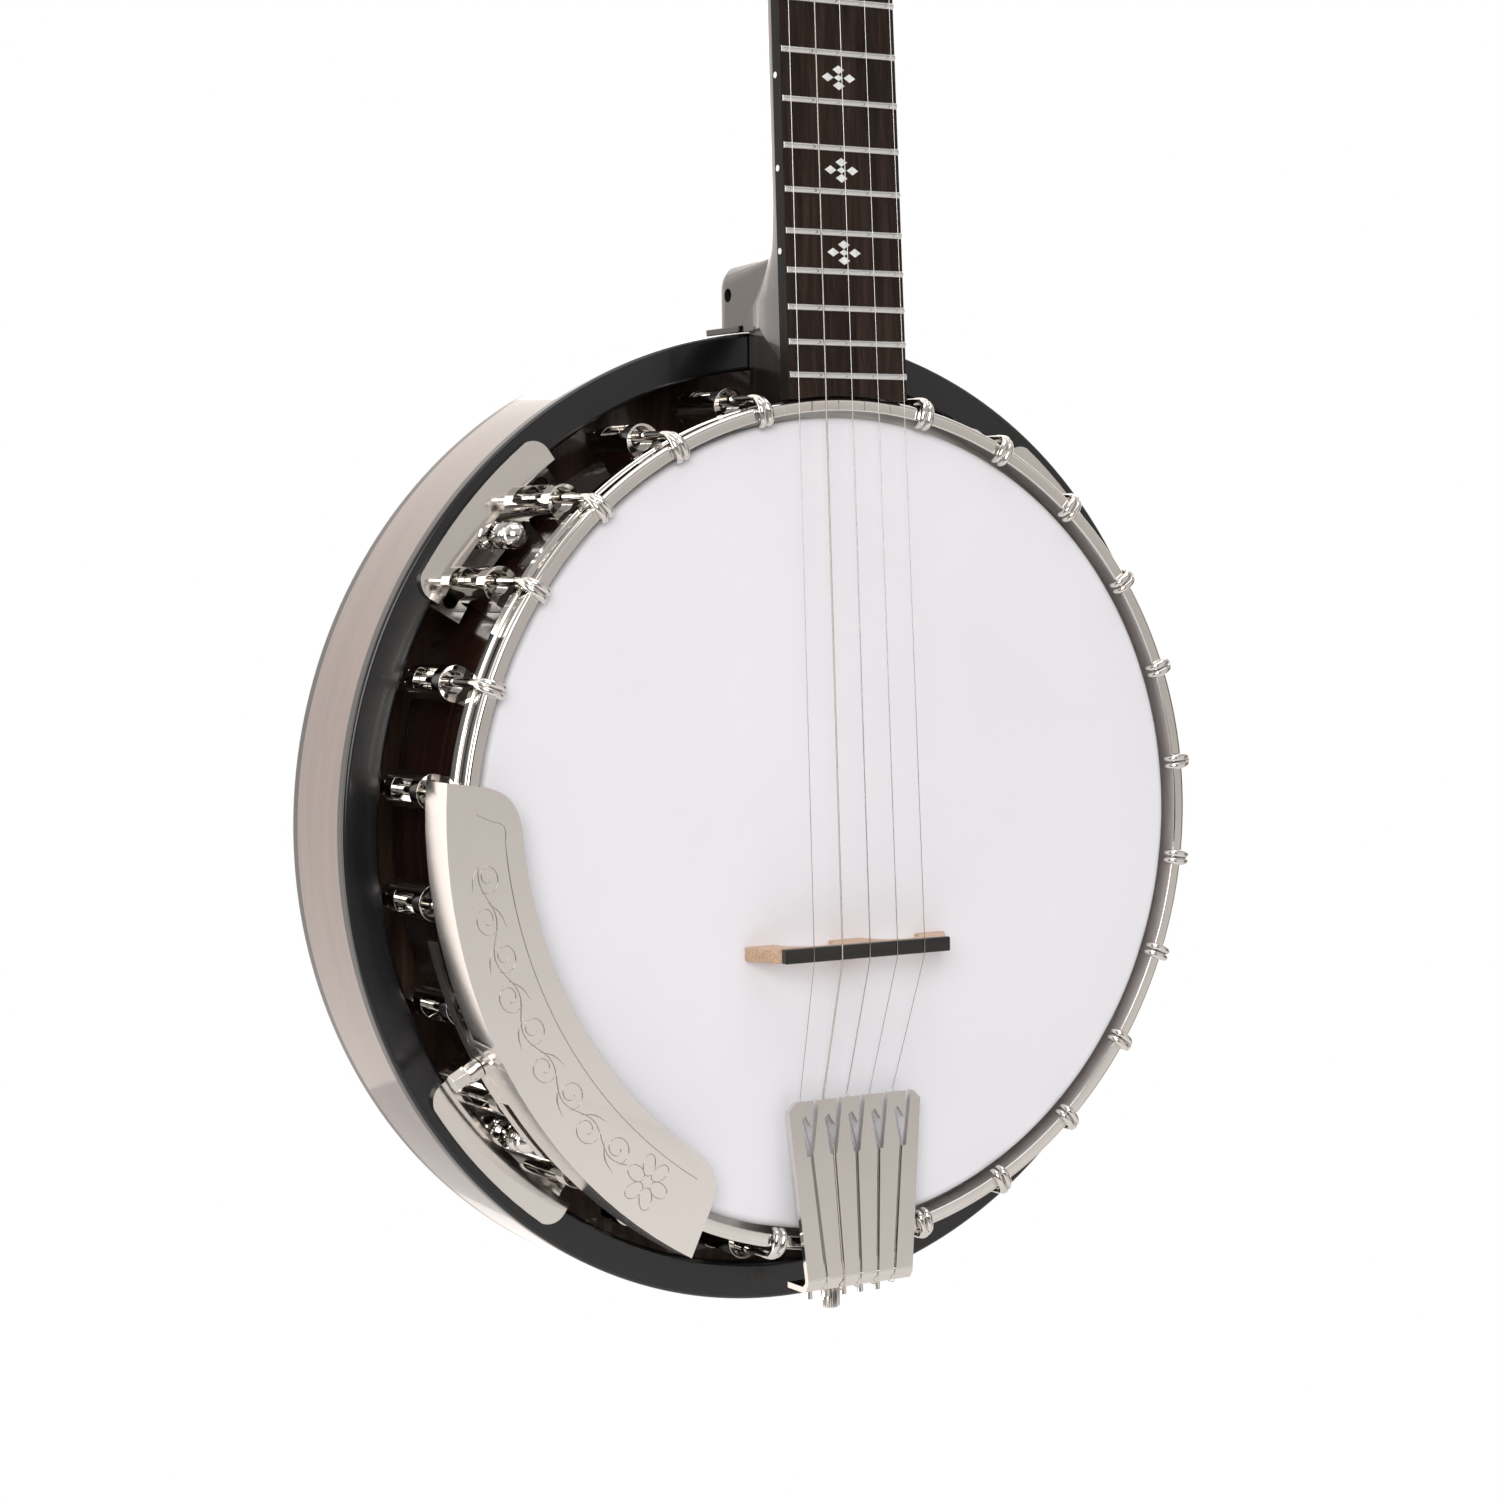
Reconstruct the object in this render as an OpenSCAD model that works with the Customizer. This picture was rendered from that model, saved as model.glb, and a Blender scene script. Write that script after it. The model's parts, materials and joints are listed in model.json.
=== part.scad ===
/* [Head and pot] */
// Diameter of the drum head, which is also the outside of the wooden rim
head_d = 279.4; // [240:0.1:310]
// Thickness of the head's skin
skin_t = 0.5; // [0.3:0.1:0.8]
// Radius that the skin bends over at the tone ring
crown_r = 2.5; // [1.5:0.1:3.5]
// Depth of the head's collar, from playing face to flesh hoop
collar_h = 9.2; // [8:0.1:12]
// Depth of the tone ring
ring_h = 7; // [6:0.1:8]
// Wall of the tone ring
ring_wall = 7.7; // [5:0.1:10]
// Wall of the wooden rim
rim_wall = 19; // [14:0.5:24]
// Depth from the playing face to the back of the rim
rim_back = 66; // [58:0.5:68]

/* [Tension hoop and hooks] */
// Gap between the rim and the inside of the tension hoop
hoop_gap = 2.6; // [2.2:0.1:3.2]
// Wall of the tension hoop
hoop_wall = 4.7; // [4:0.1:6]
// How far the hoop stands in front of the playing face
hoop_rise = 3.2; // [2.6:0.1:4.5]
// Number of hooks on each side of the neck
hooks_per_side = 12; // [8:1:12]
// Angle from the neck to the first hook
first_hook = 13; // [12:0.5:15]
// Angle from the neck to the last hook
last_hook = 168; // [166:0.5:169]
// Diameter of the hook wire
wire_d = 4; // [3:0.1:4.4]
// Gap between the hoop and the hook shanks
wire_gap = 1; // [0.5:0.1:1.5]
// Depth where each shoe starts
shoe_front = 18; // [16:0.5:20]
// Length of each shoe along the hook
shoe_len = 26; // [20:0.5:27]
// Across-flats size of the hook nuts
nut_af = 8; // [7:0.1:8.6]
// Height of the hook nuts
nut_h = 6.5; // [5:0.5:8]

/* [Resonator] */
// Diameter of the resonator
res_d = 343; // [335:0.5:380]
// Depth from the playing face to the front lip
lip_y = 36; // [35:0.5:40]
// Radial width of the black front lip
lip_w = 13; // [10:0.5:13]
// Thickness of the front lip
lip_t = 5; // [4:0.5:8]
// Wall of the side
side_wall = 6; // [4:0.5:8]
// Depth of the side, front lip included
side_h = 38; // [34:0.5:46]
// Height of the arch of the back
arch_h = 12; // [6:0.5:18]
// Thickness of the back
back_t = 5; // [4:0.5:7]
// Thickness of the bracket plates
plate_t = 1.6; // [1.2:0.1:2]
// Half the angle that one bracket plate covers
plate_half = 12; // [11.5:0.1:13]

/* [Neck] */
// Distance from the nut to the centre of the head
nut_to_pot = 632; // [600:1:680]
// Scale length that sets the frets
scale_len = 665; // [630:1:700]
// Number of frets
fret_count = 22; // [18:1:22]
// Backward pitch of the neck
pitch = 2.55; // [1.5:0.05:3.5]
// Height of the fingerboard's face in front of the head, at its end
board_rise = 5.3; // [5:0.1:7]
// Thickness of the fingerboard
board_t = 5; // [4:0.1:5.5]
// Half the width of the fingerboard at the pot
board_half = 23.94; // [22:0.1:25]
// Widening of each edge of the fingerboard, per millimetre
edge_taper = 0.0064; // [0.005:0.0001:0.0075]
// Depth of the neck below the fingerboard, at the nut
neck_depth = 15; // [13:0.5:18]
// Backward angle of the peghead
peg_tilt = 13; // [10:0.5:16]
// Thickness of the peghead
peghead_t = 14; // [12:0.5:16]

/* [Strings and bridge] */
// Spacing of the strings at the bridge
bridge_gap = 11.27; // [10:0.01:12]
// Loss of string spacing per millimetre towards the nut
fan = 0.00352; // [0.003:0.0001:0.004]
// Distance of the bridge below the centre of the head
bridge_drop = 42; // [20:0.5:60]
// Height of the bridge
bridge_h = 15.9; // [14:0.1:18]
// Thickness of the bridge along the strings
bridge_w = 5; // [4:0.1:7]
// Length of the bridge at its feet
bridge_foot = 80.6; // [74:0.2:90]

/* [Tailpiece and armrest] */
// Distance from the centre of the head to the tailpiece's upper edge
tail_top = 93.5; // [88:0.5:100]
// Half the width of the tailpiece at its upper edge
tail_half = 27; // [26:0.5:30]
// Half the width of the tailpiece at its lower end
tail_foot = 21.5; // [19:0.5:24]
// Thickness of the tailpiece plate
tail_t = 2; // [1.6:0.1:2.2]
// Depth of the armrest's front plate in front of the head
arm_rise = 9.2; // [9.2:0.1:11]
// Thickness of the armrest plate
arm_t = 1.2; // [1:0.1:1.6]

/* [Hidden] */

// Colours
c_maple = [0.82, 0.66, 0.44];
c_mahogany = [0.30, 0.13, 0.08];
c_black = [0.05, 0.05, 0.05];
c_chrome = [0.80, 0.80, 0.82];
c_brass = [0.78, 0.62, 0.30];
c_steel = [0.62, 0.62, 0.64];
c_skin = [0.93, 0.93, 0.95];
c_rosewood = [0.16, 0.10, 0.08];
c_pearl = [0.92, 0.93, 0.90];
c_neck = [0.24, 0.15, 0.10];

// Fits
slip = 0.05;          // running clearance on radius
touch = 0.05;         // gap left between curved faces that meet
gap = 0.3;            // clear gap between pieces that must not meet
eps = 0.01;

// Pot
pot_r = head_d / 2;
rim_in = pot_r - rim_wall;
hoop_in = pot_r + hoop_gap;
hoop_out = hoop_in + hoop_wall;
wire_r = wire_d / 2;
bar_r = 1.65;
nib_r = 1.05;
hook_r = hoop_out + wire_gap + wire_r;
flesh_t = 3.2;
flesh_out = pot_r + 4.1;
hook_step = (last_hook - first_hook) / (hooks_per_side - 1);
hook_list = [for (side = [-1, 1], k = [0:hooks_per_side - 1]) side * (first_hook + k * hook_step)];
shoe_back = shoe_front + shoe_len;
shoe_bolt_y = shoe_front + shoe_len / 2;
shoe_bolt_r = 2;
shoe_r = 6.2;
nut_r = nut_af / 2 / cos(30);
hook_end = shoe_back + plate_t + nut_h + 2;
rod_r = 4;
bolt_r = 3;
rod_ys = [20.8, 31.8];
rod_thread = 20;

// Resonator
res_r = res_d / 2;
lip_in = res_r - lip_w;
side_back = lip_y + side_h;
side_in = res_r - side_wall;
back_rho = (res_r * res_r + arch_h * arch_h) / (2 * arch_h);
riser_out = lip_in - 0.4;
riser_in = riser_out - plate_t;
plate_in = pot_r + 3.8;
plate_out = lip_in + 9;
screw_r = hook_r + 1;
plate_pairs = [2, hooks_per_side - 4];
plate_list = [for (side = [-1, 1], k = plate_pairs) side * (first_hook + (k + 0.5) * hook_step)];
lug_y = shoe_back + plate_t + touch;
lug_len = 14;
thumb_shank = 2.5;
insert_r = 4;

// Neck and strings
nut_r_top = 1.2;
neck_sin = sin(pitch);
neck_cos = cos(pitch);
board_len = (nut_to_pot - pot_r - 6.3) / neck_cos;
pot_y = board_rise - board_len * neck_sin;
function edge_x(s) = board_half - edge_taper * (board_len - s);
string_r = [0.15, 0.16, 0.2, 0.3, 0.15];
nut_gap = bridge_gap - fan * (nut_to_pot + bridge_drop);
nut_edge = 3.3;
nut_bass = nut_gap + nut_edge;
nut_cx = (edge_x(0) - nut_bass) / 2;
nut_half = (edge_x(0) + nut_bass) / 2;
function fret_s(k) = scale_len * (1 - pow(2, -k / 12));
fifth_s = fret_s(5) - 6.5;
peg5_s = fifth_s - 15;
peg5_y = 12;
peg5_post_r = 3;
shoulder_s = fifth_s - 0.6;
function bass_x(s) = nut_bass + fan * s;
nut_t = 5;
veneer_t = 1.6;
post_r = 3;
waist_r = 2.5;
tuner_hole = 5;
// Where each post stands on the peghead: across, and up from the nut
post_spots = [[20, 42], [18, 86], [-18, 86], [-20, 42]];
post_top = -13;
wrap_y = -9;
button_y = 33;

// Tailpiece, in depth and distance below the centre
tail_end = 155;
tail_end_y = -9;
tail_lean = atan((tail_end_y * -1 - 6) / (tail_end - tail_top));
tail_h = tail_end - tail_top;
pin_gap = 7;
slot_gap = 10.1;
pin_y = 2.5;
flange_z = 157.8;
tail_screw_y = 11;

// Armrest: two arcs, each with its centre moved away from the pot's
arm_out_r = 171.6;
arm_out_dir = -118;
arm_out_shift = arm_out_r - (hook_r + wire_r + 0.4 + arm_t);
arm_in_r = 150.5;
arm_in_dir = -129;
arm_in_shift = arm_in_r - (pot_r - 16.7);
arm_from = -82;
arm_to = -154.5;
arm_corner = 14;
arm_screw_t = -(first_hook + 7.5 * hook_step);
arm_screw_y = 13.2;
flange_back = 6.5;

function arc_pts(cx, cy, r, a0, a1, n) =
    [for (i = [0:n]) [cx + r * cos(a0 + (a1 - a0) * i / n), cy + r * sin(a0 + (a1 - a0) * i / n)]];
function dir(t) = [sin(t), cos(t)];
// Distance from the pot's centre, at angle t, to an arc whose centre is moved back by shift
function arc_reach(r, shift, toward, t) =
    -shift * cos(t - toward) + sqrt(r * r - pow(shift * sin(t - toward), 2));
function arm_out(t, inset = 0) = (arc_reach(arm_out_r, arm_out_shift, arm_out_dir, t) - inset) * dir(t);
function arm_in(t) = arc_reach(arm_in_r, arm_in_shift, arm_in_dir, t) * dir(t);

module pot() translate([0, pot_y, -nut_to_pot]) children();
module neck_frame() rotate([-pitch, 0, 0]) children();
module peg_frame() neck_frame() translate([nut_cx, 0, nut_t]) rotate([-peg_tilt, 0, 0]) children();
module at(t) rotate([0, t, 0]) children();
module tail_side() mirror([0, 0, 1]) children();
module along_y(y, z, x = 0) translate([x, y, z]) rotate([-90, 0, 0]) children();
module ring(points) rotate([-90, 0, 0]) rotate_extrude($fn = 120) polygon(points);
module ring_arc(t0, t1, points)
    rotate([-90, 0, 0]) rotate([0, 0, t0 - 90]) rotate_extrude(angle = t1 - t0, $fn = 120) polygon(points);
// A flat outline in across and up, given depth from y0 to y1
module slab(y0, y1) translate([0, y1, 0]) rotate([90, 0, 0]) linear_extrude(y1 - y0) children();

// Tube swept along a route, its ring turned as little as possible from point to point
function unit(v) = v / norm(v);
function heading(p, i) = unit(p[min(i + 1, len(p) - 1)] - p[max(i - 1, 0)]);
function swept(p, i, u, out) = i >= len(p) ? out :
    let (t = heading(p, i), w = unit(u - (u * t) * t))
    swept(p, i + 1, w, concat(out, [[w, cross(t, w)]]));
module tube(p, r, sides = 6) {
    f = swept(p, 0, [0, 1, 0.3], []);
    n = len(p);
    pts = [for (i = [0:n - 1], k = [0:sides - 1])
        p[i] + r * (cos(360 * k / sides) * f[i][0] + sin(360 * k / sides) * f[i][1])];
    walls = [for (i = [0:n - 2], k = [0:sides - 1])
        let (a = i * sides + k, b = i * sides + (k + 1) % sides)
        [a, a + sides, b + sides, b]];
    caps = [[for (k = [0:sides - 1]) k], [for (k = [sides - 1:-1:0]) (n - 1) * sides + k]];
    polyhedron(points = pts, faces = concat(walls, caps), convexity = 6);
}
function from_neck(v) = [v.x, v.y * neck_cos + v.z * neck_sin, -v.y * neck_sin + v.z * neck_cos];
function from_peg(v) = let (c = cos(peg_tilt), s = sin(peg_tilt))
    from_neck([v.x + nut_cx, v.y * c + v.z * s, -v.y * s + v.z * c + nut_t]);
function from_pot(v) = [v.x, v.y + pot_y, v.z - nut_to_pot];

// ---------------------------------------------------------------- pot
module rim() color(c_maple) pot() difference() {
    ring([[rim_in, ring_h + touch], [pot_r, ring_h + touch], [pot_r, rim_back], [rim_in, rim_back]]);
    for (t = hook_list) at(t) translate([0, shoe_bolt_y, rim_in - 1])
        cylinder(r = shoe_bolt_r + slip, h = rim_wall + 2, $fn = 24);
    for (t = [0, 180], y = rod_ys) at(t) translate([0, y, rim_in - 1])
        cylinder(r = bolt_r + slip, h = rim_wall + 2, $fn = 24);
}
module tone_ring() color(c_brass) pot() ring(concat(
    [[pot_r - ring_wall, skin_t + crown_r]],
    arc_pts(pot_r - ring_wall + crown_r, skin_t + crown_r, crown_r, 180, 270, 5),
    arc_pts(pot_r - crown_r, skin_t + crown_r, crown_r, 270, 360, 6),
    [[pot_r, ring_h], [pot_r - ring_wall, ring_h]]));
module head_skin() color(c_skin) pot() ring(concat(
    [[0, 0]],
    arc_pts(pot_r - crown_r, skin_t + crown_r, crown_r + skin_t, 270, 360, 6),
    [[pot_r + skin_t, collar_h], [pot_r + 0.06, collar_h]],
    arc_pts(pot_r - crown_r, skin_t + crown_r, crown_r + 0.06, 360, 270, 6),
    [[0, skin_t - 0.06]]));
module flesh_hoop() color(c_steel) pot() ring([[pot_r + touch, collar_h], [flesh_out, collar_h],
    [flesh_out, collar_h + flesh_t], [pot_r + touch, collar_h + flesh_t]]);
module tension_hoop() color(c_chrome) pot() ring(concat(
    [[hoop_in, collar_h], [hoop_in, 0.4 - hoop_rise], [hoop_in + 0.4, -hoop_rise]],
    arc_pts(hoop_out - 1.4, 1.4 - hoop_rise, 1.4, 270, 360, 4),
    [[hoop_out, 1.2], [hoop_out - 0.8, 1.7], [hoop_out - 0.8, collar_h - 3.5],
        [hoop_out, collar_h - 3], [hoop_out, collar_h]]));

module hook() {
    bar_y = -hoop_rise - bar_r - touch;
    nib_z = hoop_in - nib_r - 0.15;
    along_y(bar_y, hook_r) cylinder(r = wire_r, h = hook_end - bar_y, $fn = 24);
    translate([0, bar_y, hook_r]) sphere(r = wire_r + 0.1, $fn = 24);
    for (side = [-1, 1]) {
        translate([side * (bar_r - 0.05), bar_y, nib_z - 0.4])
            cylinder(r = bar_r, h = hook_r + 0.7 - nib_z, $fn = 20);
        along_y(bar_y + 0.3, nib_z, side * (bar_r - 0.05))
            cylinder(r = nib_r, h = hoop_rise + bar_r - 0.7, $fn = 16);
    }
}
module bracket_hooks() color(c_chrome) pot() for (t = hook_list) at(t) hook();

module shoe() difference() {
    union() {
        along_y(shoe_front, hook_r - 2) cylinder(r = shoe_r, h = shoe_len, $fn = 32);
        translate([-5.5, shoe_front + 3, pot_r + touch]) cube([11, shoe_len - 6, hook_r - 2 - pot_r]);
    }
    along_y(shoe_front - 1, hook_r) cylinder(r = wire_r + slip, h = shoe_len + 2, $fn = 24);
    along_y(shoe_front - 1, hook_r - 0.6) cylinder(r = 4.1, h = 5, $fn = 32);
    translate([-3.6, shoe_front + 6, hook_r - 1.6]) cube([7.2, shoe_len - 12, shoe_r]);
    translate([0, shoe_bolt_y, pot_r - 1]) cylinder(r = shoe_bolt_r + slip, h = 6.6, $fn = 24);
}
module bracket_shoes() color(c_chrome) pot() for (t = hook_list) at(t) shoe();

function on_plate(t) = min([for (p = plate_list) abs(p - t)]) < hook_step;
module bracket_nuts() color(c_chrome) pot() for (t = hook_list) at(t)
    along_y(shoe_back + touch + (on_plate(t) ? plate_t : 0), hook_r) difference() {
        cylinder(r = nut_r, h = nut_h, $fn = 6);
        translate([0, 0, -1]) cylinder(r = wire_r + slip, h = nut_h + 2, $fn = 24);
    }
module shoe_bolts() color(c_steel) pot() for (t = hook_list) at(t) translate([0, shoe_bolt_y, 0]) {
    translate([0, 0, rim_in - 4]) cylinder(r = shoe_bolt_r, h = pot_r + 5 - rim_in + 4, $fn = 24);
    translate([0, 0, rim_in - 4]) cylinder(r = 4.2, h = 3.85, $fn = 6);
}
module coordinator_rods() color(c_steel) pot() for (y = rod_ys) translate([0, y, 0]) difference() {
    translate([0, 0, 0.3 - rim_in]) cylinder(r = rod_r, h = 2 * (rim_in - 0.3), $fn = 32);
    for (side = [-1, 1]) translate([0, 0, side * (rim_in - rod_thread / 2)])
        cylinder(r = bolt_r + slip, h = rod_thread + 2, center = true, $fn = 32);
}
module tail_bolts() color(c_steel) pot() tail_side() for (y = rod_ys) translate([0, y, 0]) {
    translate([0, 0, rim_in - rod_thread + 2])
        cylinder(r = bolt_r, h = rim_wall + rod_thread + 2.2, $fn = 32);
    translate([0, 0, pot_r + touch * 2 + 2]) cylinder(r = 5.4, h = 4, $fn = 6);
}
module hanger_bolts() color(c_steel) pot() for (y = rod_ys)
    translate([0, y, rim_in - rod_thread + 2]) cylinder(r = bolt_r, h = rim_wall + rod_thread + 22, $fn = 32);

// ---------------------------------------------------------------- resonator
module resonator_lip() color(c_black) pot() ring(concat(
    [[lip_in, lip_y + lip_t]],
    arc_pts(lip_in + 1.5, lip_y + 1.5, 1.5, 180, 270, 4),
    arc_pts(res_r - 1.5, lip_y + 1.5, 1.5, 270, 360, 4),
    [[res_r, lip_y + lip_t]]));
module resonator_side() color(c_mahogany) pot() ring([[side_in, lip_y + lip_t],
    [res_r, lip_y + lip_t], [res_r, side_back], [side_in, side_back]]);
function back_y(r, d) = side_back + d + sqrt(back_rho * back_rho - r * r) - (back_rho - arch_h);
module resonator_back() color(c_mahogany) pot() ring(concat(
    [for (i = [0:12]) let (r = (res_r - 3) * i / 12) [r, back_y(r, back_t)]],
    [[res_r - 3, side_back]],
    [for (i = [12:-1:0]) let (r = (side_in - 1) * i / 12) [r, max(side_back, back_y(r, 0))]]));
module resonator_binding() color(c_black) pot() ring(concat(
    [[res_r - 3 + touch, side_back], [res_r, side_back]],
    arc_pts(res_r - 2, side_back + back_y(res_r - 3, back_t) - side_back - 2, 2, 0, 90, 4),
    [[res_r - 3 + touch, back_y(res_r - 3, back_t)]]));
module resonator_lugs() color(c_maple) pot() for (t = plate_list) at(t) difference() {
    intersection() {
        translate([-11, lug_y, screw_r - 6.5]) cube([22, lug_len, side_in - screw_r + 8]);
        along_y(lug_y - 1, 0) cylinder(r = side_in, h = lug_len + 2, $fn = 120);
    }
    along_y(lug_y - 1, screw_r) cylinder(r = insert_r + slip, h = lug_len + 2, $fn = 32);
}
module lug_inserts() color(c_brass) pot() for (t = plate_list) at(t) along_y(lug_y, screw_r)
    difference() {
        cylinder(r = insert_r, h = lug_len, $fn = 32);
        translate([0, 0, -1]) cylinder(r = thumb_shank + slip, h = lug_len + 2, $fn = 32);
    }
module hook_slot(side) {
    for (a = [hook_step / 2, hook_step / 2 + 3])
        at(side * a) along_y(shoe_back - 1, hook_r) cylinder(r = wire_r + 0.7, h = 4, $fn = 24);
    at(side * (hook_step / 2 + 1.5)) translate([-3.9, shoe_back - 1, hook_r - wire_r - 0.7])
        cube([7.8, 4, wire_d + 1.4]);
}
module resonator_brackets() color(c_chrome) pot() for (t = plate_list) at(t) difference() {
    ring_arc(-plate_half, plate_half, [[plate_in, shoe_back + touch], [riser_in, shoe_back + touch],
        [riser_in, lip_y - plate_t], [plate_out, lip_y - plate_t], [plate_out, lip_y],
        [riser_out, lip_y], [riser_out, shoe_back + plate_t], [plate_in, shoe_back + plate_t]]);
    for (side = [-1, 1]) hook_slot(side);
    for (side = [-1, 1]) at(side * plate_half) difference() {
        translate([side > 0 ? -7 : -3, lip_y - 4, plate_out - 7]) cube([10, 8, 10]);
        along_y(lip_y - 5, plate_out - 7, -side * 7) cylinder(r = 7, h = 10, $fn = 48);
    }
    along_y(shoe_back - 1, screw_r) cylinder(r = thumb_shank + 0.6, h = 4, $fn = 32);
}
module thumbscrew(k) color(c_chrome) pot() at(plate_list[k]) translate([0, 0, screw_r]) {
    ball_y = shoe_back - 18;
    rotate([-90, 0, 0]) rotate_extrude($fn = 48) polygon(concat([[0, shoe_back + 12]],
        [[thumb_shank, shoe_back + 12], [thumb_shank, shoe_back], [5, shoe_back], [5, shoe_back - 3],
            [3.2, shoe_back - 4], [2.9, shoe_back - 7], [3.2, shoe_back - 9.4], [4.7, shoe_back - 10],
            [4.7, shoe_back - 12.6], [2.2, shoe_back - 13.4]],
        arc_pts(0, ball_y, 4.6, 60, -90, 8)));
}
module thumbscrew_1() thumbscrew(0);
module thumbscrew_2() thumbscrew(1);
module thumbscrew_3() thumbscrew(2);
module thumbscrew_4() thumbscrew(3);

// ---------------------------------------------------------------- armrest
function arm_outline() =
    let (steps = 24,
        in_top = arm_in(arm_from - 6.6), in_low = arm_in(arm_to + 7),
        out_top = arm_out(arm_from), out_low = arm_out(arm_to),
        end_top = out_top - (norm(out_top) - norm(arm_in(arm_from)) - arm_corner) * dir(arm_from),
        end_low = out_low - (norm(out_low) - norm(arm_in(arm_to)) - arm_corner) * dir(arm_to),
        key_top = arm_in(arm_from), key_low = arm_in(arm_to))
    concat([for (i = [0:steps]) arm_out(arm_from + (arm_to - arm_from) * i / steps)],
        [for (i = [0:9]) let (u = i / 9)
            (1 - u) * (1 - u) * end_low + 2 * u * (1 - u) * key_low + u * u * in_low],
        [for (i = [1:steps - 1]) arm_in(arm_to + 7 + (arm_from - arm_to - 13.6) * i / steps)],
        [for (i = [0:9]) let (u = i / 9)
            (1 - u) * (1 - u) * in_top + 2 * u * (1 - u) * key_top + u * u * end_top]);
function arm_band(t0, t1, steps) = concat(
    [for (i = [0:steps]) arm_out(t0 + (t1 - t0) * i / steps)],
    [for (i = [steps:-1:0]) arm_out(t0 + (t1 - t0) * i / steps, arm_t)]);
module armrest_plate() color(c_chrome) pot() difference() {
    union() {
        slab(-arm_rise, arm_t - arm_rise) polygon(arm_outline());
        slab(arm_t - arm_rise - eps, flange_back) polygon(arm_band(arm_from, arm_to, 24));
        slab(flange_back - eps, arm_screw_y + 3.2) polygon(arm_band(arm_screw_t + 5.5, arm_screw_t - 5.5, 4));
        slab(arm_screw_y - 2.2, arm_screw_y + 3.2) polygon(arm_band(arm_screw_t + 17, arm_screw_t - 15, 12));
    }
    at(arm_screw_t) translate([0, arm_screw_y, hook_r]) cylinder(r = 2.1, h = 12, $fn = 24);
}
clamp_out = hook_r - wire_r - 0.1;
module armrest_clamp() color(c_steel) pot() difference() {
    ring_arc(arm_screw_t - 10, arm_screw_t + 10, [[clamp_out - 1.4, collar_h + flesh_t + gap],
        [clamp_out, collar_h + flesh_t + gap], [clamp_out, shoe_front - gap],
        [clamp_out - 1.4, shoe_front - gap]]);
    at(arm_screw_t) translate([0, arm_screw_y, clamp_out - 4]) cylinder(r = 2.05, h = 8, $fn = 24);
}
module armrest_screw() color(c_chrome) pot() at(arm_screw_t) translate([0, arm_screw_y, 0]) {
    translate([0, 0, clamp_out - 3]) cylinder(r = 2, h = 16, $fn = 24);
    translate([0, 0, hook_r + wire_r + 1.8]) cylinder(r = 3.6, h = 5, $fn = 24);
    translate([0, 0, hook_r + wire_r + 6.8]) cylinder(r = 3.4, h = 5.5, $fn = 6);
}

// ---------------------------------------------------------------- tailpiece
module tail_frame() translate([0, tail_end_y, -tail_end]) rotate([-tail_lean, 0, 0]) children();
function slot_x(k, z) = (k - 2) * (pin_gap + (slot_gap - pin_gap) * z / tail_h);
module keyhole(k) {
    x = slot_x(k, tail_h - 12);
    // a string slot that opens at the upper edge and hooks towards the bass side
    slab(-1, tail_t + 1) polygon([[x - 1.2, tail_h - 19], [x + 1.4, tail_h - 19], [x + 4.4, tail_h + 1],
        [x + 2.2, tail_h + 1], [x + 0.9, tail_h - 9], [x - 1.4, tail_h - 5], [x - 3.2, tail_h - 6.4]]);
}
module tailpiece_plate() color(c_chrome) pot() {
    tail_frame() difference() {
        slab(0, tail_t) polygon([[-tail_foot, 0], [tail_foot, 0], [tail_half, tail_h - 3],
            [tail_half - 3, tail_h], [3 - tail_half, tail_h], [-tail_half, tail_h - 3]]);
        for (k = [0:4]) keyhole(k);
        for (k = [0:4]) slab(-1, 0.7) polygon([[slot_x(k, -1) - 0.6, -1], [slot_x(k, -1) + 0.6, -1],
            [slot_x(k, tail_h - 18) + 0.6, tail_h - 18], [slot_x(k, tail_h - 18) - 0.6, tail_h - 18]]);
    }
    // the bend at the lower end and the flange behind it, with its five string pins
    difference() {
        union() {
            translate([-tail_foot, 0, 0]) rotate([90, 0, 90]) linear_extrude(2 * tail_foot)
                polygon([[tail_end_y, eps - tail_end], [tail_end_y, 1.4 - flange_z],
                    [tail_end_y + 1.6, -flange_z - 1.2], [tail_end_y + 3.4, -flange_z - tail_t],
                    [pin_y + 2, -flange_z - tail_t], [pin_y + 2, -flange_z],
                    [tail_end_y + 3.6, -flange_z], [tail_end_y + tail_t, 1.5 - flange_z],
                    [tail_end_y + tail_t, eps - tail_end]]);
            translate([-6, pin_y + 2 - eps, -flange_z - tail_t]) cube([12, tail_screw_y + 2, tail_t]);
            for (k = [-2:2]) translate([k * pin_gap, pin_y, -flange_z - tail_t - 4.5])
                cylinder(r = 1.1, h = 5, $fn = 20);
        }
        translate([0, tail_screw_y, -flange_z - tail_t - 1]) cylinder(r = 2, h = tail_t + 2, $fn = 24);
    }
}
module tailpiece_hanger() color(c_steel) pot() difference() {
    union() {
        translate([-9, 13.4, -pot_r - touch * 2 - 2]) cube([18, rod_ys[1] + 5.4 - 13.4, 2]);
        translate([-7, 13.4, -flange_z + touch]) cube([14, 2, flange_z - pot_r - 2]);
        translate([-7, 5.5, -flange_z + touch]) cube([14, 8, 2]);
    }
    for (y = rod_ys) translate([0, y, -pot_r - 4]) cylinder(r = bolt_r + slip, h = 8, $fn = 32);
    translate([0, tail_screw_y, -flange_z - 1]) cylinder(r = 1.6, h = 4, $fn = 24);
}
module tailpiece_screw() color(c_chrome) pot() translate([0, tail_screw_y, 0]) {
    translate([0, 0, -flange_z - tail_t - 1]) cylinder(r = 1.55, h = 9, $fn = 24);
    translate([0, 0, -flange_z - tail_t - 10.7]) cylinder(r = 3.25, h = 10.6, $fn = 32);
}

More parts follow.
